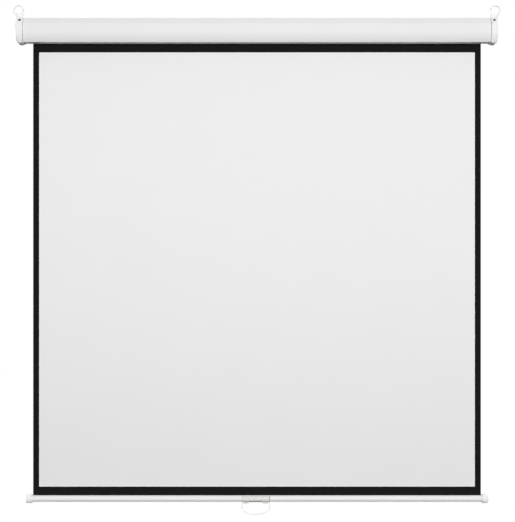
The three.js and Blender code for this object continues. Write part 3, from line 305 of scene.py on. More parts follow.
def mirrored(thing, name):
    """A copy on the other side of the middle."""
    mesh = thing.data.copy()
    mesh.transform(Matrix.Scale(-1, 4, Vector((1, 0, 0))))
    mesh.flip_normals()
    return new_object(name, mesh)


def placed(thing, matrix):
    thing.data.transform(matrix)
    return thing


def spread(start, end, steps):
    """Evenly spaced values, both ends included."""
    return [start + (end - start) * step / steps for step in range(steps + 1)]


def arc(centre, radius, start, end, steps):
    """Points of an arc in a plane, both ends included."""
    u, v = centre
    return [
        Vector((u + radius * math.cos(angle), v + radius * math.sin(angle)))
        for angle in spread(start, end, steps)
    ]


def rounded(corners, closed, steps=6):
    """A line whose corners, each a place and a radius, are rounded, or left where it is 0."""
    line = []
    count = len(corners)
    for i, (place, radius) in enumerate(corners):
        here = Vector(place)
        if not radius or (not closed and i in (0, count - 1)):
            line.append(here)
            continue
        before = (Vector(corners[i - 1][0]) - here).normalized()
        after = (Vector(corners[(i + 1) % count][0]) - here).normalized()
        half = before.angle(after) / 2
        centre = here + (before + after).normalized() * (radius / math.sin(half))
        first = here + before * (radius / math.tan(half)) - centre
        last = here + after * (radius / math.tan(half)) - centre
        start = math.atan2(first.y, first.x)
        turn = (math.atan2(last.y, last.x) - start + math.pi) % (2 * math.pi) - math.pi
        line += arc(centre, radius, start, start + turn, steps)
    return line


def shifted(line, distance, closed):
    """A line moved to its right by a distance, with square corners."""
    count = len(line)
    sides = []
    for i, point in enumerate(line):
        along = (line[(i + 1) % count] - point).normalized()
        sides.append(Vector((along.y, -along.x)))
    moved = []
    for i, point in enumerate(line):
        before = sides[i - 1]
        after = sides[i]
        if not closed and i == 0:
            before = after
        if not closed and i == count - 1:
            after = before
        moved.append(point + (before + after) * (distance / (1 + before.dot(after))))
    return moved


def strip(line, thickness):
    """Outline of a sheet along a line, with its thickness on the line's left."""
    return [*line, *reversed(shifted(line, -thickness, False))]


def lofted(name, rings):
    """A closed form through rings that have the same number of points."""
    count = len(rings[0])
    points = [point for ring in rings for point in ring]
    last = (len(rings) - 1) * count
    faces = [tuple(range(count)), tuple(range(last, last + count))]
    for step in range(len(rings) - 1):
        for i in range(count):
            a = step * count + i
            b = step * count + (i + 1) % count
            faces.append((a, b, b + count, a + count))
    return solid(name, points, faces)


def along_x(name, outline, start, end, steps=1):
    """An outline in Y and Z pulled along X."""
    return lofted(name, [[(x, y, z) for y, z in outline] for x in spread(start, end, steps)])


def turned(name, profile, sides=64, radius_at=None):
    """A form turned about X, from (x, radius) points. It ends on the axis or closes on itself."""
    points = []
    rings = []
    for x, radius in profile:
        if radius == 0:
            rings.append([len(points)] * sides)
            points.append((x, 0, 0))
            continue
        rings.append(list(range(len(points), len(points) + sides)))
        for angle in spread(0, 2 * math.pi, sides)[:-1]:
            reach = radius_at(x, radius, angle) if radius_at else radius
            points.append((x, reach * math.cos(angle), reach * math.sin(angle)))
    pairs = list(zip(rings, rings[1:]))
    if profile[0][1] != 0:
        pairs.append((rings[-1], rings[0]))
    faces = []
    for ring, following in pairs:
        for side in range(sides):
            after = (side + 1) % sides
            face = dict.fromkeys((ring[side], ring[after], following[after], following[side]))
            faces.append(tuple(face))
    return solid(name, points, faces)


def block(name, low, high):
    corners = [(low.y, low.z), (high.y, low.z), (high.y, high.z), (low.y, high.z)]
    return along_x(name, corners, low.x, high.x)


def rod(name, start, end, radius):
    """A plain round rod along X."""
    return turned(name, [(start, 0), (start, radius), (end, radius), (end, 0)], sides=32)


def wire(name, path, radius, sides):
    """A round wire along a path that stays in a plane of constant Y."""
    rings = []
    for i, point in enumerate(path):
        along = (path[min(i + 1, len(path) - 1)] - path[max(i - 1, 0)]).normalized()
        across = Vector((along.z, 0, -along.x))
        ring = []
        for angle in spread(0, 2 * math.pi, sides)[:-1]:
            out = across * math.cos(angle) + Vector((0, math.sin(angle), 0))
            ring.append(point + radius * out)
        rings.append(ring)
    return lofted(name, rings)


def plate(name, outline, holes, thickness, edge):
    """A flat piece in X and Z with rounded edges, its middle at Y = 0."""
    curve = bpy.data.curves.new(name, "CURVE")
    curve.dimensions = "2D"
    curve.fill_mode = "BOTH"
    for line in (outline, *holes):
        spline = curve.splines.new("POLY")
        spline.points.add(len(line) - 1)
        for point, place in zip(spline.points, line):
            point.co = (place[0], place[1], 0, 1)
        spline.use_cyclic_u = True
    curve.bevel_depth = edge
    curve.bevel_resolution = 4
    curve.offset = -edge
    curve.extrude = thickness / 2 - edge
    drawn = new_object(name, curve)
    mesh = final_mesh(drawn)
    remove(drawn)
    mesh.transform(Matrix.Rotation(math.pi / 2, 4, "X"))
    return new_object(name, faced_out(mesh, weld=True))


# Materials

def new_material(name, colour, roughness, metallic=0.0, specular=0.5):
    """A material with its even values on the shader itself, and its texture coordinate."""
    made = bpy.data.materials.new(name)
    made.use_nodes = True
    nodes = made.node_tree.nodes
    shader = nodes["Principled BSDF"]
    shader.inputs["Base Color"].default_value = (*colour, 1)
    shader.inputs["Roughness"].default_value = roughness
    shader.inputs["Metallic"].default_value = metallic
    shader.inputs["Specular IOR Level"].default_value = specular
    place = nodes.new("ShaderNodeTexCoord").outputs["Object"]
    return made, shader, place


def link(made, source, target):
    made.node_tree.links.new(source, target)


def stretched(made, place, scale):
    mapping = made.node_tree.nodes.new("ShaderNodeMapping")
    mapping.inputs["Scale"].default_value = scale
    link(made, place, mapping.inputs["Vector"])
    return mapping.outputs["Vector"]


def noise(made, place, scale, detail):
    node = made.node_tree.nodes.new("ShaderNodeTexNoise")
    node.inputs["Scale"].default_value = scale
    node.inputs["Detail"].default_value = detail
    link(made, place, node.inputs["Vector"])
    return node.outputs["Fac"]


def waves(made, place, direction, scale):
    node = made.node_tree.nodes.new("ShaderNodeTexWave")
    node.wave_type = "BANDS"
    node.bands_direction = direction
    node.inputs["Scale"].default_value = scale
    node.inputs["Distortion"].default_value = 0.4
    node.inputs["Detail"].default_value = 1.0
    link(made, place, node.inputs["Vector"])
    return node.outputs["Fac"]


def scaled(made, value, low, high, start=0.0, end=1.0):
    """A value from start to end as one from low to high."""
    node = made.node_tree.nodes.new("ShaderNodeMapRange")
    node.inputs["From Min"].default_value = start
    node.inputs["From Max"].default_value = end
    node.inputs["To Min"].default_value = low
    node.inputs["To Max"].default_value = high
    link(made, value, node.inputs["Value"])
    return node.outputs["Result"]


def combined(made, operation, first, second):
    node = made.node_tree.nodes.new("ShaderNodeMath")
    node.operation = operation
    link(made, first, node.inputs[0])
    link(made, second, node.inputs[1])
    return node.outputs["Value"]


def tinted(made, value, dark, light):
    node = made.node_tree.nodes.new("ShaderNodeMix")
    node.data_type = "RGBA"
    node.inputs["A"].default_value = (*dark, 1)
    node.inputs["B"].default_value = (*light, 1)
    link(made, value, node.inputs["Factor"])
    return node.outputs["Result"]


def seen_directly(made):
    """1 for rays from the camera, a gloss or glass, in a material or a world, and 0 for others."""
    path = made.node_tree.nodes.new("ShaderNodeLightPath").outputs
    seen = combined(made, "MAXIMUM", path["Is Camera Ray"], path["Is Glossy Ray"])
    return combined(made, "MAXIMUM", seen, path["Is Transmission Ray"])


def detailed(made, shader, tone, colours, gloss, roughness, height, distance, strength):
    """Lets a tone vary the colour, a gloss the roughness and a height the surface."""
    link(made, tinted(made, tone, *colours), shader.inputs["Base Color"])
    link(made, scaled(made, gloss, *roughness), shader.inputs["Roughness"])
    node = made.node_tree.nodes.new("ShaderNodeBump")
    node.inputs["Distance"].default_value = distance
    node.inputs["Strength"].default_value = strength
    link(made, height, node.inputs["Height"])
    link(made, node.outputs["Normal"], shader.inputs["Normal"])
    return made


def paint(name, dark, light, roughness):
    """Baked enamel: a faint unevenness of tone, gloss and surface."""
    made, shader, place = new_material(name, light, roughness, specular=0.1)
    return detailed(
        made, shader,
        tone=noise(made, place, scale=9, detail=2), colours=(dark, light),
        gloss=noise(made, place, scale=420, detail=4),
        roughness=(roughness - 0.05, roughness + 0.06),
        height=noise(made, place, scale=900, detail=2), distance=0.05 * MM, strength=0.35,
    )


def moulded(name, dark, light, roughness, grain=1400, depth=0.04 * MM, mottle=25):
    """Moulded plastic with a fine spark-eroded grain and a mottled tone."""
    made, shader, place = new_material(name, light, roughness, specular=0.12)
    fine = noise(made, place, scale=grain, detail=3)
    return detailed(
        made, shader,
        tone=noise(made, place, scale=mottle, detail=3), colours=(dark, light),
        gloss=fine, roughness=(roughness - 0.07, roughness + 0.07),
        height=fine, distance=depth, strength=0.4,
    )


def woven(name, dark, light, roughness, specular):
    """Coated cloth whose weave shows through faintly."""
    made, shader, place = new_material(name, light, roughness, specular=specular)
    warp = waves(made, place, "X", scale=260)
    weft = waves(made, place, "Z", scale=260)
    weave = combined(made, "MULTIPLY", warp, weft)
    threads = scaled(made, weave, low=0.85, high=1.0)
    mottle = scaled(made, noise(made, place, scale=6, detail=4), low=0.6, high=1.0)
    return detailed(
        made, shader,
        tone=combined(made, "MULTIPLY", threads, mottle), colours=(dark, light),
        gloss=weave, roughness=(roughness, roughness - 0.08),
        height=weave, distance=0.05 * MM, strength=0.5,
    )


def metal(name, dark, light, roughness):
    """Drawn or brushed metal with fine lines along X."""
    made, shader, place = new_material(name, light, roughness, metallic=1.0)
    lines = noise(made, stretched(made, place, (2, 60, 60)), scale=22, detail=5)
    return detailed(
        made, shader,
        tone=lines, colours=(dark, light),
        gloss=lines, roughness=(roughness - 0.08, roughness + 0.14),
        height=lines, distance=0.02 * MM, strength=0.3,
    )


def rubber(name, dark, light):
    """Dull rubber with a coarse grain."""
    made, shader, place = new_material(name, dark, roughness=0.8, specular=0.3)
    fine = noise(made, place, scale=700, detail=4)
    return detailed(
        made, shader,
        tone=fine, colours=(dark, light),
        gloss=fine, roughness=(0.7, 0.9),
        height=fine, distance=0.08 * MM, strength=0.5,
    )


def grey(value):
    return (value, value, value)


# Each look by its darker and lighter tone and its roughness, then what else differs
MATERIALS = {
    "case_paint": paint("case_paint", grey(0.855), grey(0.875), 0.5),
    "bar_paint": paint("bar_paint", grey(0.865), grey(0.89), 0.45),
    "cap_plastic": moulded("cap_plastic", grey(0.91), grey(0.935), 0.5),
    "ring_plastic": moulded("ring_plastic", grey(0.95), grey(0.97), 0.45, 900, 0.03 * MM),
    "bail_plastic": moulded("bail_plastic", grey(0.93), grey(0.95), 0.4, 900, 0.03 * MM),
    "clip_plastic": moulded(
        "clip_plastic", (0.6, 0.592, 0.57), (0.98, 0.973, 0.953), 0.5, mottle=120
    ),
    "inner_plastic": moulded("inner_plastic", (0.5, 0.5, 0.48), (0.6, 0.6, 0.57), 0.55),
    "steel": metal("steel", grey(0.44), grey(0.62), 0.34),
    "dark_steel": metal("dark_steel", grey(0.07), grey(0.13), 0.4),
    "brass": metal("brass", (0.5, 0.36, 0.14), (0.68, 0.5, 0.22), 0.3),
    "screen_white": woven("screen_white", grey(0.86), grey(0.905), 0.95, specular=0.2),
    "screen_black": woven("screen_black", grey(0.006), grey(0.0115), 0.9, specular=0.05),
    # Near-black: on the clip's window strip and its end ring it is painted shade
    "rubber": rubber("rubber", grey(0.018), grey(0.04)),
}


def finish_piece(thing, look, body, *nodes, angle=30):
    """Gives a piece its look and body, hides the nodes that it stands for, and shades it smoothly.

    Faces that meet at more than the angle, in degrees, keep a sharp edge.
    """
    thing.data.materials.clear()
    thing.data.materials.append(MATERIALS[look])
    thing.data.shade_smooth()
    thing.data.set_sharp_from_angle(angle=math.radians(angle))
    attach(thing, body)
    if nodes:
        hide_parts(*nodes)
    return thing


def finish_pair(right, look, body, node, angle=30):
    """Finishes a piece of the right side and its mirror image, for a node and its counterpart."""
    left = mirrored(right, right.name.replace("right", "left"))
    finish_piece(right, look, body, node, angle=angle)
    finish_piece(left, look, body, node.replace("right", "left"), angle=angle)


# Case

def belly_corners(end_z):
    """The front's lower curve down to a height, as corners without rounding."""
    centre = (CASE_FRONT + BELLY_RADIUS, -BELLY_START)
    end = math.pi + math.asin((-end_z - BELLY_START) / BELLY_RADIUS)
    return [(point, 0) for point in arc(centre, BELLY_RADIUS, math.pi, end, 20)]


def upper_corners(back):
    """The back's and top's corners down to the front, with the rounding of the one at the wall."""
    return [
        ((0, -BACK_EDGE), EDGE_ROUND),
        ((0, CASE_TOP), back),
        ((CASE_FRONT + FACET_DEPTH, CASE_TOP), CREASE_ROUND),
        ((CASE_FRONT, CASE_TOP - FACET_DROP), CREASE_ROUND),
    ]


def case_shell():
    belly = belly_corners(CASE_BOTTOM + LIP_HEIGHT)
    rim = belly[-1][0].x
    sheet = rounded(
        [
            ((FABRIC_FRONT + SLOT_BACK, -BACK_EDGE), 0),
            *upper_corners(CREASE_ROUND),
            *belly,
            ((rim, CASE_BOTTOM), EDGE_ROUND),
            ((FABRIC_FRONT - SLOT_FRONT, CASE_BOTTOM), EDGE_ROUND),
            ((FABRIC_FRONT - SLOT_FRONT, CASE_BOTTOM + SLOT_LIP), 0),
        ],
        closed=False,
    )
    skin = strip(sheet, CASE_WALL)
    shell = along_x("case_shell", skin, SEAM_GAP - SEAM, SEAM - SEAM_GAP)
    collars = [along_x("collar", skin, side * SEAM, side * CASE_HALF) for side in (-1, 1)]
    places = [
        (-PORT_INSET, CASE_TOP - PORT_INSET, 1.25 * math.pi),
        (CASE_FRONT + PORT_INSET, CASE_TOP - FACET_DROP - PORT_FRONT_RISE, 0),
        (-PORT_INSET, -PORT_LOW, math.pi),
    ]
    ports = []
    for y, z, opens in places:
        start = opens + PORT_SLIT / 2
        end = opens + 2 * math.pi - PORT_SLIT / 2
        outline = arc((y, z), PORT_OUTER, start, end, 30) + arc((y, z), PORT_BORE, end, start, 30)
        ports.append(along_x("port", outline, -CASE_HALF, CASE_HALF))
    merge(shell, *collars, *ports)
    finish_piece(shell, "case_paint", "case", "case_housing", angle=25)


# End caps

def cap_outline():
    """The case's closed end, with its corners rounded, in Y and Z."""
    belly = belly_corners(CASE_BOTTOM)
    return rounded(
        [
            *upper_corners(CAP_BACK_ROUND),
            *belly[:-2],
            *[(point, 0) for point in lip_round(belly)],
            ((-END_UNDERCUT, CASE_BOTTOM), CREASE_ROUND),
        ],
        closed=True,
    )


def lip_round(belly):
    """Rounds the corner between the front's curve and the flat underside."""
    start = belly[-2][0]
    corner = belly[-1][0]
    past = corner + Vector(((corner - start).length, 0))
    return [
        start.lerp(corner, share).lerp(corner.lerp(past, share), share)
        for share in spread(0, 1, 6)
    ]


def corner_lift(x, inset):
    """How far the rounded lower outer corner lifts the cap's underside at a place along it."""
    across = CAP_LOWER_CORNER - inset
    past = min(across, max(0.0, x - (CAP_LENGTH - CAP_LOWER_CORNER)))
    return (CAP_CORNER_RISE - inset) * (1 - math.sqrt(1 - (past / across) ** 2))


def quarter(x, length):
    """Rises from 0 to 1 over a length as a quarter of an ellipse does."""
    share = min(1.0, max(0.0, x / length))
    return math.sqrt(1 - (1 - share) ** 2)


def cap_ring(x, base):
    """The cap's section at a place along it."""
    edge = CAP_EDGE * (1 - quarter(CAP_LENGTH - x, CAP_EDGE))
    front, under = (
        (CAP_PROUD - FIT - CAP_RIM) * quarter(x, length) + FIT + CAP_RIM - edge
        for length in (CAP_SEAM_ROUND, CAP_LOW_ROUND)
    )
    sag = CAP_SAG * quarter(x, CAP_LOW_ROUND)
    bottom = CASE_BOTTOM - CAP_PROUD
    lift = corner_lift(x, 0)
    ring = []
    for skin, low in zip(shifted(base, front, True), shifted(base, under, True)):
        lowness = step_up(-skin.y, CAP_LOW_START, -bottom)
        y, z = skin.lerp(low, lowness)
        z += lift * max(0.0, z / bottom) - sag * lowness
        ring.append((SEAM + x, min(y, 0), z))
    return ring


def cap_body():
    base = cap_outline()
    corner_start = CAP_LENGTH - CAP_LOWER_CORNER
    edge_start = CAP_LENGTH - CAP_EDGE
    shares = spread(0, 1, 10)[:-1]
    stations = [CAP_SEAM_ROUND * (1 - math.cos(math.pi / 2 * share)) for share in shares]
    stations += [CAP_SEAM_ROUND + (corner_start - CAP_SEAM_ROUND) * share for share in shares]
    stations += [corner_start + (edge_start - corner_start) * share for share in shares]
    stations += [edge_start + CAP_EDGE * math.sin(math.pi / 2 * share) for share in (*shares, 1)]
    return lofted("cap", [cap_ring(x, base) for x in stations])


def cap_hollow_ring(x, back, base):
    """The section of the space inside the cap, where the case and what stands past it go."""
    lift = corner_lift(x, CAP_WALL)
    bottom = CASE_BOTTOM - FIT
    line = shifted(base, FIT, True)
    return [(SEAM + x, min(y, back), z + lift * max(0.0, z / bottom)) for y, z in line]


def cap_hollow():
    """The space inside the cap, open at the back where the case goes in."""
    base = cap_outline()
    corner_start = CAP_LENGTH - CAP_LOWER_CORNER
    corner = CAP_LOWER_CORNER - CAP_WALL
    places = [CAP_INNER - FIT, *[corner_start + x for x in spread(0, corner, 10)]]
    hollow = lofted("hollow", [cap_hollow_ring(x, -CAP_WALL, base) for x in places])
    mouth = lofted("mouth", [cap_hollow_ring(x, OVERRUN, base) for x in (-OVERRUN, CAP_INNER)])
    return [hollow, mouth]


def step_up(value, start, end):
    """Rises smoothly from 0 to 1 between two values."""
    share = min(1.0, max(0.0, (value - start) / (end - start)))
    return share * share * (3 - 2 * share)


def screw_places():
    """Name, Y and Z of each screw on the right cap, then its tip and its head's seat along X."""
    places = []
    for place in ("top", "front", "low"):
        low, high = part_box(f"cap_screw_right_{place}")
        middle = (low + high) / 2
        places.append((place, middle.y, middle.z, low.x, high.x - SCREW_HEAD))
    return places


def facet_matrix():
    """Lays a form along X onto the cap's slanting face, its X along the way out of it."""
    out = Vector((0, -FACET_DROP, FACET_DEPTH)).normalized()
    middle = Vector((
        SEAM + CAP_INNER + BOSS_RADIUS,
        CASE_FRONT + FACET_DEPTH / 2,
        CASE_TOP - FACET_DROP / 2,
    )) + out * CAP_PROUD
    turn = Vector((1, 0, 0)).rotation_difference(out)
    return Matrix.Translation(middle) @ turn.to_matrix().to_4x4()


def to_tongue():
    """How far the ring's tongue lies behind the middle of the slanting face."""
    matrix = facet_matrix()
    out = matrix.to_3x3() @ Vector((1, 0, 0))
    return (matrix.translation.y - (RING_Y - RING_THICKNESS / 2)) / out.y


def screw_hole(head_radius, depth):
    """A cutter for a screw's shank and the recess for its head, with the recess's mouth flared."""
    shank = SCREW_RADIUS + FIT
    recess = head_radius + FIT
    mouth = recess + 2 * RECESS_FLARE
    profile = [
        (-depth, 0),
        (-depth, shank),
        (-SCREW_SINK, shank),
        (-SCREW_SINK, recess),
        (-RECESS_FLARE, recess),
        (RECESS_FLARE, mouth),
        (OVERRUN, mouth),
        (OVERRUN, 0),
    ]
    return turned("hole", profile, sides=48)


def end_caps():
    cap = combine(cap_body(), "DIFFERENCE", *cap_hollow())
    inner = SEAM + CAP_INNER
    outer = SEAM + CAP_LENGTH
    half = RING_THICKNESS / 2 + FIT
    tongue_low = ring_low.z - FIT
    tongue_start = SEAM + TONGUE_IN - FIT
    tongue_end = SEAM + TONGUE_IN + TONGUE_WIDTH + FIT
    bosses = []
    for _, y, z, _, _ in screw_places():
        boss = rod("boss", inner, outer - CAP_WALL / 2, BOSS_RADIUS)
        bosses.append(placed(boss, Matrix.Translation((0, y, z))))
    bosses.append(block(
        "socket",
        Vector((inner, RING_Y - half - SOCKET_WALL, tongue_low - SOCKET_WALL)),
        Vector((tongue_end + SOCKET_WALL, RING_Y + half + SOCKET_WALL, CASE_TOP + CAP_PROUD / 2)),
    ))
    reach = to_tongue()
    bosses.append(placed(rod("boss", -reach, -CAP_PROUD / 2, BOSS_RADIUS), facet_matrix()))
    combine(cap, "UNION", *bosses)
    cutters = [block(
        "tongue_hole",
        Vector((tongue_start, RING_Y - half, tongue_low)),
        Vector((tongue_end, RING_Y + half, CASE_TOP + CAP_PROUD + OVERRUN)),
    )]
    for _, y, z, _, _ in screw_places():
        hole = screw_hole(SCREW_HEAD_RADIUS, CAP_LENGTH)
        cutters.append(placed(hole, Matrix.Translation((outer, y, z))))
    hole = screw_hole(RING_SCREW_HEAD_RADIUS + FIT, reach + OVERRUN / 2)
    cutters.append(placed(hole, facet_matrix()))
    combine(cap, "DIFFERENCE", *cutters)
    cap.name = "end_cap_right_shell"
    finish_pair(cap, "cap_plastic", "case", "end_cap_right", angle=35)


# Hanging rings

def hanging_rings():
    centre = (SEAM + RING_OUT, ring_high.z - RING_RADIUS)
    shoulder = CASE_TOP + CAP_PROUD + FIT
    circle = arc(centre, RING_RADIUS, -RING_FLARE, math.pi + RING_FLARE, 48)
    neck_left = (SEAM + NECK_IN, shoulder)
    neck_right = (SEAM + NECK_IN + NECK_WIDTH, shoulder)
    tongue_left = SEAM + TONGUE_IN
    tongue_right = tongue_left + TONGUE_WIDTH
    corners = [
        *[(point, 0) for point in circle],
        (neck_left, NECK_ROUND),
        ((tongue_left, shoulder), 0),
        ((tongue_left, ring_low.z), TONGUE_ROUND),
        ((tongue_right, ring_low.z), TONGUE_ROUND),
        ((tongue_right, shoulder), 0),
        (neck_right, NECK_ROUND),
    ]
    hole = arc(centre, RING_HOLE, 0, 2 * math.pi, 56)[:-1]
    outline = rounded(corners, closed=True)
    ring = plate("hanging_ring_right_form", outline, [hole], RING_THICKNESS, RING_EDGE)
    placed(ring, Matrix.Translation((0, RING_Y, 0)))
    finish_pair(ring, "ring_plastic", "case", "hanging_ring_right", angle=35)


# Screws

def screw(name, head_radius, length):
    """A pan-head screw with a cross recess, pointing down X from the seat of its head at zero."""
    dome = []
    for angle in spread(0, math.pi / 2, 6):
        height = HEAD_EDGE + (1 - HEAD_EDGE) * math.sin(angle)
        reach = HEAD_CROWN + (1 - HEAD_CROWN) * math.cos(angle)
        dome.append((SCREW_HEAD * height, head_radius * reach))
    shank = [(-length, 0), (-length + SCREW_RADIUS, SCREW_RADIUS), (0, SCREW_RADIUS)]
    body = turned(name, [*shank, (0, head_radius), *dome, (SCREW_HEAD, 0)], sides=48)
    for y, z in ((CROSS_HALF, head_radius / 2), (head_radius / 2, CROSS_HALF)):
        low = Vector((SCREW_HEAD - CROSS_DEPTH, -y, -z))
        combine(body, "DIFFERENCE", block("cross", low, Vector((SCREW_HEAD + OVERRUN, y, z))))
    return body


def screws():
    for place, y, z, start, seat in screw_places():
        head = screw(f"cap_screw_right_{place}_form", SCREW_HEAD_RADIUS, seat - start)
        placed(head, Matrix.Translation((seat, y, z)))
        finish_pair(head, "steel", "case", f"cap_screw_right_{place}")
    seat = -SCREW_SINK + FIT / 2
    length = to_tongue() + seat + RING_SCREW_BITE
    head = screw("ring_screw_right_form", RING_SCREW_HEAD_RADIUS, length)
    placed(head, facet_matrix() @ Matrix.Translation((seat, 0, 0)))
    finish_pair(head, "dark_steel", "case", "ring_screw_right")


# Cloth

def cloth_panel(name, look, nodes, width, height, depth):
    """A thin closed panel that hangs straight down, by where it starts and ends each way.
    """
    low, high = height
    front, back = depth
    edge = min(CLOTH_EDGE, (back - front) / 3)
    corners = [(front, low), (back, low), (back, high), (front, high)]
    outline = rounded([(corner, edge) for corner in corners], closed=True, steps=2)
    panel = along_x(name, outline, *width, CLOTH_STEPS)
    finish_piece(panel, look, "case", *nodes)
    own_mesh(panel)
    return panel


def fabric_roll():
    """The turns that stay on the roller, as a spiral that leaves it at the back."""
    pitch = CLOTH + ROLL_GAP
    outer = FABRIC_BACK - ROLLER_Y
    line = []
    for turn in spread(0, ROLL_TURNS, 90):
        angle = 2 * math.pi * turn
        radius = outer - pitch * turn
        line.append(Vector((ROLLER_Y + radius * math.cos(angle), radius * math.sin(angle))))
    roll = along_x("fabric_roll", strip(line, CLOTH), -FABRIC_HALF, FABRIC_HALF)
    return finish_piece(roll, "screen_black", "roller", "fabric_turns")


def fabric_hem_sheet():
    """The lower border: down through the bar's slot, round the rod and up to its own seam."""
    loop = ROD_RADIUS + FIT + CLOTH
    seam_z = ROD_Z + loop + HEM_SEAM_RISE
    start = math.pi / 2 + HEM_OPENING / 2
    end = 2.5 * math.pi - HEM_OPENING / 2
    line = [Vector((BAR_Y - CLOTH / 2, hem_high.z)), Vector((BAR_Y - CLOTH / 2, seam_z))]
    line += arc((BAR_Y, ROD_Z), loop, start, end, 40)
    line.append(Vector((BAR_Y + HEM_LAP * CLOTH, seam_z)))
    hem = along_x("fabric_hem_sheet", strip(line, CLOTH), -FABRIC_HALF, FABRIC_HALF, CLOTH_STEPS)
    return finish_piece(hem, "screen_black", "bar", "fabric_hem")


def cloth():
    """The fabric as a white and a black layer, its printed borders, its hem and its turns."""
    middle = FABRIC_BACK - CLOTH * BACKING_SHARE
    inner = FABRIC_HALF - SIDE_BORDER
    across = (-FABRIC_HALF, FABRIC_HALF)
    drop = (WHITE_END, FABRIC_TOP)
    above = (-TOP_BORDER_END, -TOP_BORDER_START)
    beside = (WHITE_END, -TOP_BORDER_END)
    ink = (FABRIC_FRONT - INK, FABRIC_FRONT)
    black = "screen_black"
    panels = [
        ("screen_sheet", "screen_white", ["screen_fabric"], across, drop, (FABRIC_FRONT, middle)),
        ("screen_backing", black, [], across, drop, (middle, FABRIC_BACK)),
        ("border_top", black, ["mask_top"], across, above, ink),
        ("border_left", black, ["mask_left"], (-FABRIC_HALF, -inner), beside, ink),
        ("border_right", black, ["mask_right"], (inner, FABRIC_HALF), beside, ink),
    ]
    white, *others = [cloth_panel(*panel) for panel in panels]
    fabric_hem_sheet()
    fabric_roll()


# Weight bar

def weight_bar():
    half = math.asin(BAR_SLOT / 2 / BAR_RADIUS)
    start = math.pi / 2 + half
    line = arc((BAR_Y, BAR_Z), BAR_RADIUS, start, start + 2 * math.pi - 2 * half, 96)
    bar = along_x("weight_bar_tube", strip(line, BAR_WALL), -BAR_HALF, BAR_HALF)
    finish_piece(bar, "bar_paint", "bar", "weight_bar")


def fluted(x, radius, angle):
    """Shallow grooves round the knob's grip, fading out at both ends of it."""
    grip_start = KNOB_START + KNOB_CHAMFER + KNOB_BAND + 2 * KNOB_STEP
    grip_end = KNOB_START + KNOB_LENGTH - KNOB_NOSE * (1 - FLUTE_PAST)
    if not grip_start < x < grip_end or radius < KNOB_RADIUS / 2:
        return radius
    share = (x - grip_start) / (grip_end - grip_start)
    fade = min(1.0, share / FLUTE_FADE, (1 - share) / FLUTE_FADE)
    return radius - FLUTE_DEPTH * fade * (0.5 - 0.5 * math.cos(KNOB_FLUTES * angle)) ** 2


def knobs():
    end = KNOB_START + KNOB_LENGTH
    socket_end = BAR_HALF + FIT
    socket = BAR_RADIUS + FIT
    plug_end = FABRIC_HALF + PLUG_TO_HEM
    plug = BAR_RADIUS - BAR_WALL - FIT
    grip = KNOB_RADIUS - KNOB_STEP
    band = KNOB_START + KNOB_CHAMFER + KNOB_BAND
    grip_start = band + KNOB_STEP
    outside = rounded(
        [
            ((KNOB_START, socket), 0),
            ((KNOB_START, socket + KNOB_RIM), KNOB_RIM_ROUND),
            ((KNOB_START + KNOB_CHAMFER, KNOB_RADIUS), KNOB_BAND_ROUND),
            ((band, KNOB_RADIUS), KNOB_STEP_ROUND),
            ((grip_start, grip), KNOB_STEP_ROUND),
        ],
        closed=False,
        steps=4,
    )
    outside += [Vector((x, grip)) for x in spread(grip_start, end - KNOB_NOSE, 14)[1:-1]]
    outside += arc((end - KNOB_NOSE, grip - KNOB_NOSE), KNOB_NOSE, math.pi / 2, 0, 8)
    inside = [(plug_end, 0), (plug_end, plug), (socket_end, plug), (socket_end, socket)]
    profile = [*inside, *[tuple(point) for point in outside], (end, 0)]
    knob = turned("bar_knob_right", profile, KNOB_FLUTES * 8, fluted)
    placed(knob, Matrix.Translation((0, BAR_Y, BAR_Z)))
    finish_pair(knob, "cap_plastic", "bar", "bar_cap_right")


# Handle

def clip_height(x, angle):
    """How far the clip's outside stands over its wall: a knurled pad with ribs beside it."""
    turn = PAD_SLOPE / BAR_RADIUS
    reach = abs(x)
    top = step_up(angle, PAD_TOP, PAD_TOP + turn)
    pad = step_up(PAD_HALF - reach, 0, PAD_SLOPE) * top * step_up(PAD_BOTTOM - angle, 0, turn)
    across = (BAR_RADIUS + CLIP_WALL) * angle
    wave = math.pi / KNURL_PITCH
    knurl = math.sin(wave * (x + across)) * math.sin(wave * (x - across))
    inside = step_up(PAD_HALF - reach, KNURL_MARGIN, KNURL_MARGIN + KNURL_FADE)
    height = pad * (PAD_RISE - inside * KNURL_DEPTH * (0.5 + 0.5 * knurl))
    pitch = (CLIP_HALF - PAD_HALF - RIB_WIDTH) / RIBS_A_SIDE
    for i in range(1, RIBS_A_SIDE + 1):
        middle = PAD_HALF + i * pitch + RIB_WIDTH / 2
        rib = step_up((RIB_WIDTH + RIB_SLOPE) / 2 - abs(reach - middle), 0, RIB_SLOPE)
        height += RIB_RISE * rib * top * step_up(RIB_BOTTOM - angle, 0, turn)
    groove = step_up(GROOVE_WIDTH / 2 - abs(reach - CLIP_HALF + GROOVE_IN), 0, GROOVE_SLOPE)
    return height * (1 - groove) - GROOVE_DEPTH * groove


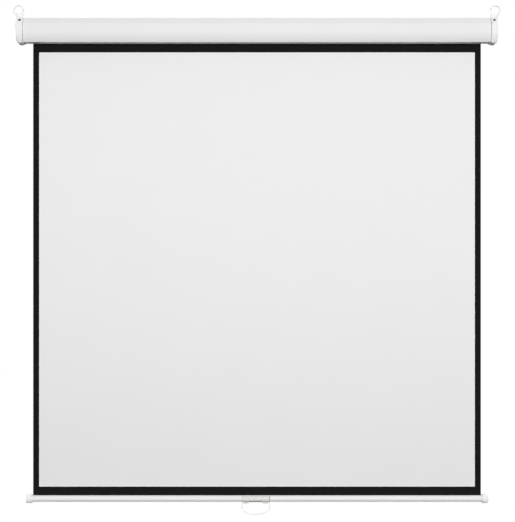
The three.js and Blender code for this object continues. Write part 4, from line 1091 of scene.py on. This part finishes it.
def clip_shell():
    """The clip as a fine grid over its length and its turn, with a window for the dark strip of
    painted shade.
    """
    inner = BAR_RADIUS + FIT
    outer = inner + CLIP_WALL
    columns = 240
    rows = 110
    window = LUG_START - FIT
    points = []
    for x in spread(-CLIP_HALF, CLIP_HALF, columns):
        for angle in spread(CLIP_START, CLIP_END, rows):
            to_edge = min(angle - CLIP_START, CLIP_END - angle) * outer
            inset = max(0.0, CLIP_EDGE - min(CLIP_HALF - abs(x), to_edge))
            drop = CLIP_EDGE - math.sqrt(max(0.0, CLIP_EDGE ** 2 - inset ** 2))
            for radius in (outer + clip_height(x, angle) - drop, inner):
                y = BAR_Y + radius * math.cos(angle)
                points.append((x, y, BAR_Z + radius * math.sin(angle)))

    def filled(column, row):
        if not (0 <= column < columns and 0 <= row < rows):
            return False
        x = -CLIP_HALF + 2 * CLIP_HALF * (column + 0.5) / columns
        angle = CLIP_START + (CLIP_END - CLIP_START) * (row + 0.5) / rows
        return abs(x) >= window or not SHADE_LINER_TOP - FIT / outer < angle < SHADE_LINER_BOTTOM + FIT / outer

    def corner(column, row, layer):
        return 2 * (column * (rows + 1) + row) + layer

    faces = []
    for column in range(columns):
        for row in range(rows):
            if not filled(column, row):
                continue
            square = [(column, row), (column + 1, row), (column + 1, row + 1), (column, row + 1)]
            faces.append(tuple(corner(c, r, 0) for c, r in square))
            faces.append(tuple(corner(c, r, 1) for c, r in reversed(square)))
            beside = [(column, row - 1), (column + 1, row), (column, row + 1), (column - 1, row)]
            for side, (c, r) in enumerate(beside):
                if not filled(c, r):
                    a = square[side]
                    b = square[(side + 1) % 4]
                    faces.append((corner(*a, 0), corner(*a, 1), corner(*b, 1), corner(*b, 0)))
    used = sorted({index for face in faces for index in face})
    number = {index: i for i, index in enumerate(used)}
    faces = [tuple(number[index] for index in face) for face in faces]
    return solid("handle_clip_form", [points[index] for index in used], faces)


def lug():
    """The right lug under the clip, with a blind hole for the bail in its outer face."""
    top = BAR_Z - BAR_RADIUS - FIT - CLIP_WALL / 2
    base = [Vector((BAR_Y + LUG_RADIUS, top)), Vector((BAR_Y - LUG_RADIUS, top))]
    base += arc((BAR_Y, PIVOT_Z), LUG_RADIUS, math.pi, 2 * math.pi, 24)
    rings = []
    slopes = ((0, LUG_EDGE), (LUG_EDGE / 3, LUG_EDGE / 3), (LUG_EDGE, 0))
    for x, inset in (*[(LUG_START + along, inset) for along, inset in slopes],
                     *[(LUG_END - along, inset) for along, inset in reversed(slopes)]):
        rings.append([(x, y, z) for y, z in shifted(base, -inset, True)])
    body = lofted("lug", rings)
    bore = rod("bore", LUG_END - BAIL_IN_LUG - FIT, LUG_END + OVERRUN, BAIL_WIRE + FIT)
    placed(bore, Matrix.Translation((0, BAR_Y, PIVOT_Z)))
    return combine(body, "DIFFERENCE", bore)


def handle_clip():
    right = lug()
    clip = merge(clip_shell(), right, mirrored(right, "lug"))
    placed(clip, Matrix.Translation((HANDLE_X, 0, 0)))
    finish_piece(clip, "clip_plastic", "bar", "handle_clip", angle=40)


def clip_liner():
    """The dark strip in the clip's window and the thin dark ring at its right end, both painted
    shade: the bar's shadowed underside and the groove's shadow.
    """
    inner = BAR_RADIUS + FIT
    reach = LUG_START - 2 * FIT
    line = arc((BAR_Y, BAR_Z), inner + SHADE_LINER_THICKNESS, SHADE_LINER_TOP, SHADE_LINER_BOTTOM, 28)
    outline = strip(line, SHADE_LINER_THICKNESS)
    shade_liner = along_x("painted_shade_liner_strip", outline, HANDLE_X - reach, HANDLE_X + reach, 24)
    finish_piece(shade_liner, "rubber", "bar", "clip_liner")
    # A thin dark ring in the right end's groove, as painted shadow of that groove
    middle = HANDLE_X + CLIP_HALF - GROOVE_IN
    radius = inner + CLIP_WALL - SHADOW_RING_SINK
    line = arc((BAR_Y, BAR_Z), radius, CLIP_START + SHADOW_RING_SHORT, CLIP_END - SHADOW_RING_SHORT, 60)
    outline = strip(line, SHADOW_RING_THICKNESS)
    shadow_ring = along_x("painted_shadow_ring", outline, middle - SHADOW_RING_WIDTH / 2, middle + SHADOW_RING_WIDTH / 2)
    finish_piece(shadow_ring, "rubber", "bar")


def bezier(a, b, c, d, steps):
    points = []
    for t in spread(0, 1, steps)[:-1]:
        u = 1 - t
        points.append(u * u * u * a + 3 * u * u * t * b + 3 * u * t * t * c + t * t * t * d)
    return points


def handle_bail():
    """A D of round wire, with its ends turned in to the lugs."""
    out = CLIP_HALF - BAIL_WIRE
    handles = 4 * (math.sqrt(2) - 1) / 3  # how far a quarter of an ellipse's handles reach
    bow = BAIL_DROP - BAIL_SHOULDER

    def at(x, z):
        return Vector((x, BAR_Y, PIVOT_Z + z))

    shoulder = at(out, -BAIL_SHOULDER)
    half = bezier(at(0, -BAIL_DROP), at(out * handles, -BAIL_DROP),
                  at(out, -BAIL_SHOULDER - bow * (1 - handles)), shoulder, 28)
    half += [shoulder, at(out, -BAIL_CORNER - BAIL_STRAIGHT)]
    turn = arc((out - BAIL_CORNER, -BAIL_CORNER), BAIL_CORNER, 0, math.pi / 2, 10)
    half += [at(x, z) for x, z in turn]
    half.append(at(LUG_END - BAIL_IN_LUG, 0))
    other = [Vector((-point.x, point.y, point.z)) for point in reversed(half[1:])]
    bail = wire("handle_bail_wire", [*other, *half], BAIL_WIRE, sides=24)
    placed(bail, Matrix.Translation((HANDLE_X, 0, 0)))
    finish_piece(bail, "bail_plastic", "bail", "handle_bail", angle=60)


# Pieces that stay as the frame has them

def dress_frame_nodes():
    """Gives each node that still shows its material, and shades its joined faces smoothly."""
    slots = {row["node"]: row["material_slot"] for row in frame["record"]["subparts"]}
    for name, node in frame["nodes"].items():
        if node.hide_render:
            continue
        node.data.materials.clear()
        node.data.materials.append(MATERIALS[slots[name]])
        node.data.shade_smooth()
        weld = node.modifiers.new("weld", "WELD")
        weld.merge_threshold = WELD
        edges = node.modifiers.new("edges", "EDGE_SPLIT")
        edges.split_angle = math.radians(40)


# Stage, light and camera

FLOOR_TONES = (0.85, 0.87)
FLOOR_BOUNCE = 0.05  # how much light the floor gives back to the object
FLOOR_PALE = 0.42  # how much paler than lit the floor looks, its shadows kept
FLOOR_HALF = 4.2
FLOOR_FRONT = -5.8  # short of the key lamp, behind which it would be unlit
FLOOR_BACK = 2.2
FLOOR_LEVEL = -2.35
FILL_ABOVE = 0.36
FILL_BELOW = 0.01
FILL_HEIGHTS = (-0.3, 0.5)  # of a look's direction, between which the fill rises
KEY_PLACE = (0.4, -7.0, 0.05)
KEY_TARGET = (0.0, 0.0, -0.7)
KEY_SIZE = (4.8, 1.9)
KEY_POWER = 401
SIDE_PLACE = (5.0, 2.5, 2.0)
SIDE_TARGET = (0.0, 0.0, -0.6)
SIDE_SIZE = (3.0, 3.0)
SIDE_POWER = 150
CAMERA_PLACE = (1.7 * MM, -3.724, -0.767)
FOCAL_LENGTH = 1104.7  # in pixels
LONGER_SIDE = 522  # of the picture, in pixels
SENSOR = 36  # in millimetres, as Blender has it


def floor():
    corners = [(-FLOOR_HALF, FLOOR_FRONT), (FLOOR_HALF, FLOOR_FRONT),
               (FLOOR_HALF, FLOOR_BACK), (-FLOOR_HALF, FLOOR_BACK)]
    mesh = bpy.data.meshes.new("floor")
    mesh.from_pydata([(x, y, FLOOR_LEVEL) for x, y in corners], [], [(0, 1, 2, 3)])
    ground = new_object("floor", mesh)
    dark, light = (grey(tone) for tone in FLOOR_TONES)
    made, shader, place = new_material("floor_pale", light, roughness=0.9, specular=0.1)
    pale = tinted(made, noise(made, place, scale=3, detail=3), dark, light)
    seen = seen_directly(made)
    mix = made.node_tree.nodes.new("ShaderNodeMix")
    mix.data_type = "RGBA"
    mix.inputs["A"].default_value = (*grey(FLOOR_BOUNCE), 1)
    link(made, seen, mix.inputs["Factor"])
    link(made, pale, mix.inputs["B"])
    link(made, mix.outputs["Result"], shader.inputs["Base Color"])
    shader.inputs["Emission Color"].default_value = (*grey(1.0), 1)
    link(made, scaled(made, seen, 0.0, FLOOR_PALE), shader.inputs["Emission Strength"])
    mesh.materials.append(made)


def white_world():
    """White where the camera, a gloss or glass looks, and a soft fill from above elsewhere."""
    world = bpy.data.worlds.new("studio")
    bpy.context.scene.world = world
    world.use_nodes = True
    nodes = world.node_tree.nodes
    fill = nodes["Background"]
    white = nodes.new("ShaderNodeBackground")
    for background in (fill, white):
        background.inputs["Color"].default_value = (1, 1, 1, 1)
    white.inputs["Strength"].default_value = 1.0
    split = nodes.new("ShaderNodeSeparateXYZ")
    link(world, nodes.new("ShaderNodeTexCoord").outputs["Generated"], split.inputs["Vector"])
    strength = scaled(world, split.outputs["Z"], FILL_BELOW, FILL_ABOVE, *FILL_HEIGHTS)
    link(world, strength, fill.inputs["Strength"])
    mix = nodes.new("ShaderNodeMixShader")
    link(world, seen_directly(world), mix.inputs["Fac"])
    link(world, fill.outputs["Background"], mix.inputs[1])
    link(world, white.outputs["Background"], mix.inputs[2])
    link(world, mix.outputs["Shader"], nodes["World Output"].inputs["Surface"])


def area_light(name, place, target, size, power):
    light = bpy.data.lights.new(name, "AREA")
    light.shape = "RECTANGLE"
    light.size, light.size_y = size
    light.energy = power
    lamp = new_object(name, light)
    lamp.visible_camera = False
    lamp.location = place
    lamp.rotation_euler = (Vector(target) - Vector(place)).to_track_quat("-Z", "Y").to_euler()


def lights():
    """A broad key in front, and a lamp at each side, behind the cloth, for the ends and back."""
    area_light("key", KEY_PLACE, KEY_TARGET, KEY_SIZE, KEY_POWER)
    x, y, z = SIDE_PLACE
    area_light("side_right", (x, y, z), SIDE_TARGET, SIDE_SIZE, SIDE_POWER)
    area_light("side_left", (-x, y, z), SIDE_TARGET, SIDE_SIZE, SIDE_POWER)


def camera():
    """Level, in front of the screen and a little above its middle, as the photograph was taken."""
    data = bpy.data.cameras.new("camera")
    data.sensor_width = SENSOR
    data.lens = FOCAL_LENGTH * SENSOR / LONGER_SIDE
    seer = new_object("camera", data)
    seer.location = CAMERA_PLACE
    seer.rotation_euler = (math.pi / 2, 0, 0)
    bpy.context.scene.camera = seer


camera()
case_shell()
end_caps()
hanging_rings()
screws()
cloth()
weight_bar()
knobs()
handle_clip()
clip_liner()
handle_bail()
dress_frame_nodes()
floor()
white_world()
lights()
bpy.context.scene.view_settings.view_transform = "Standard"
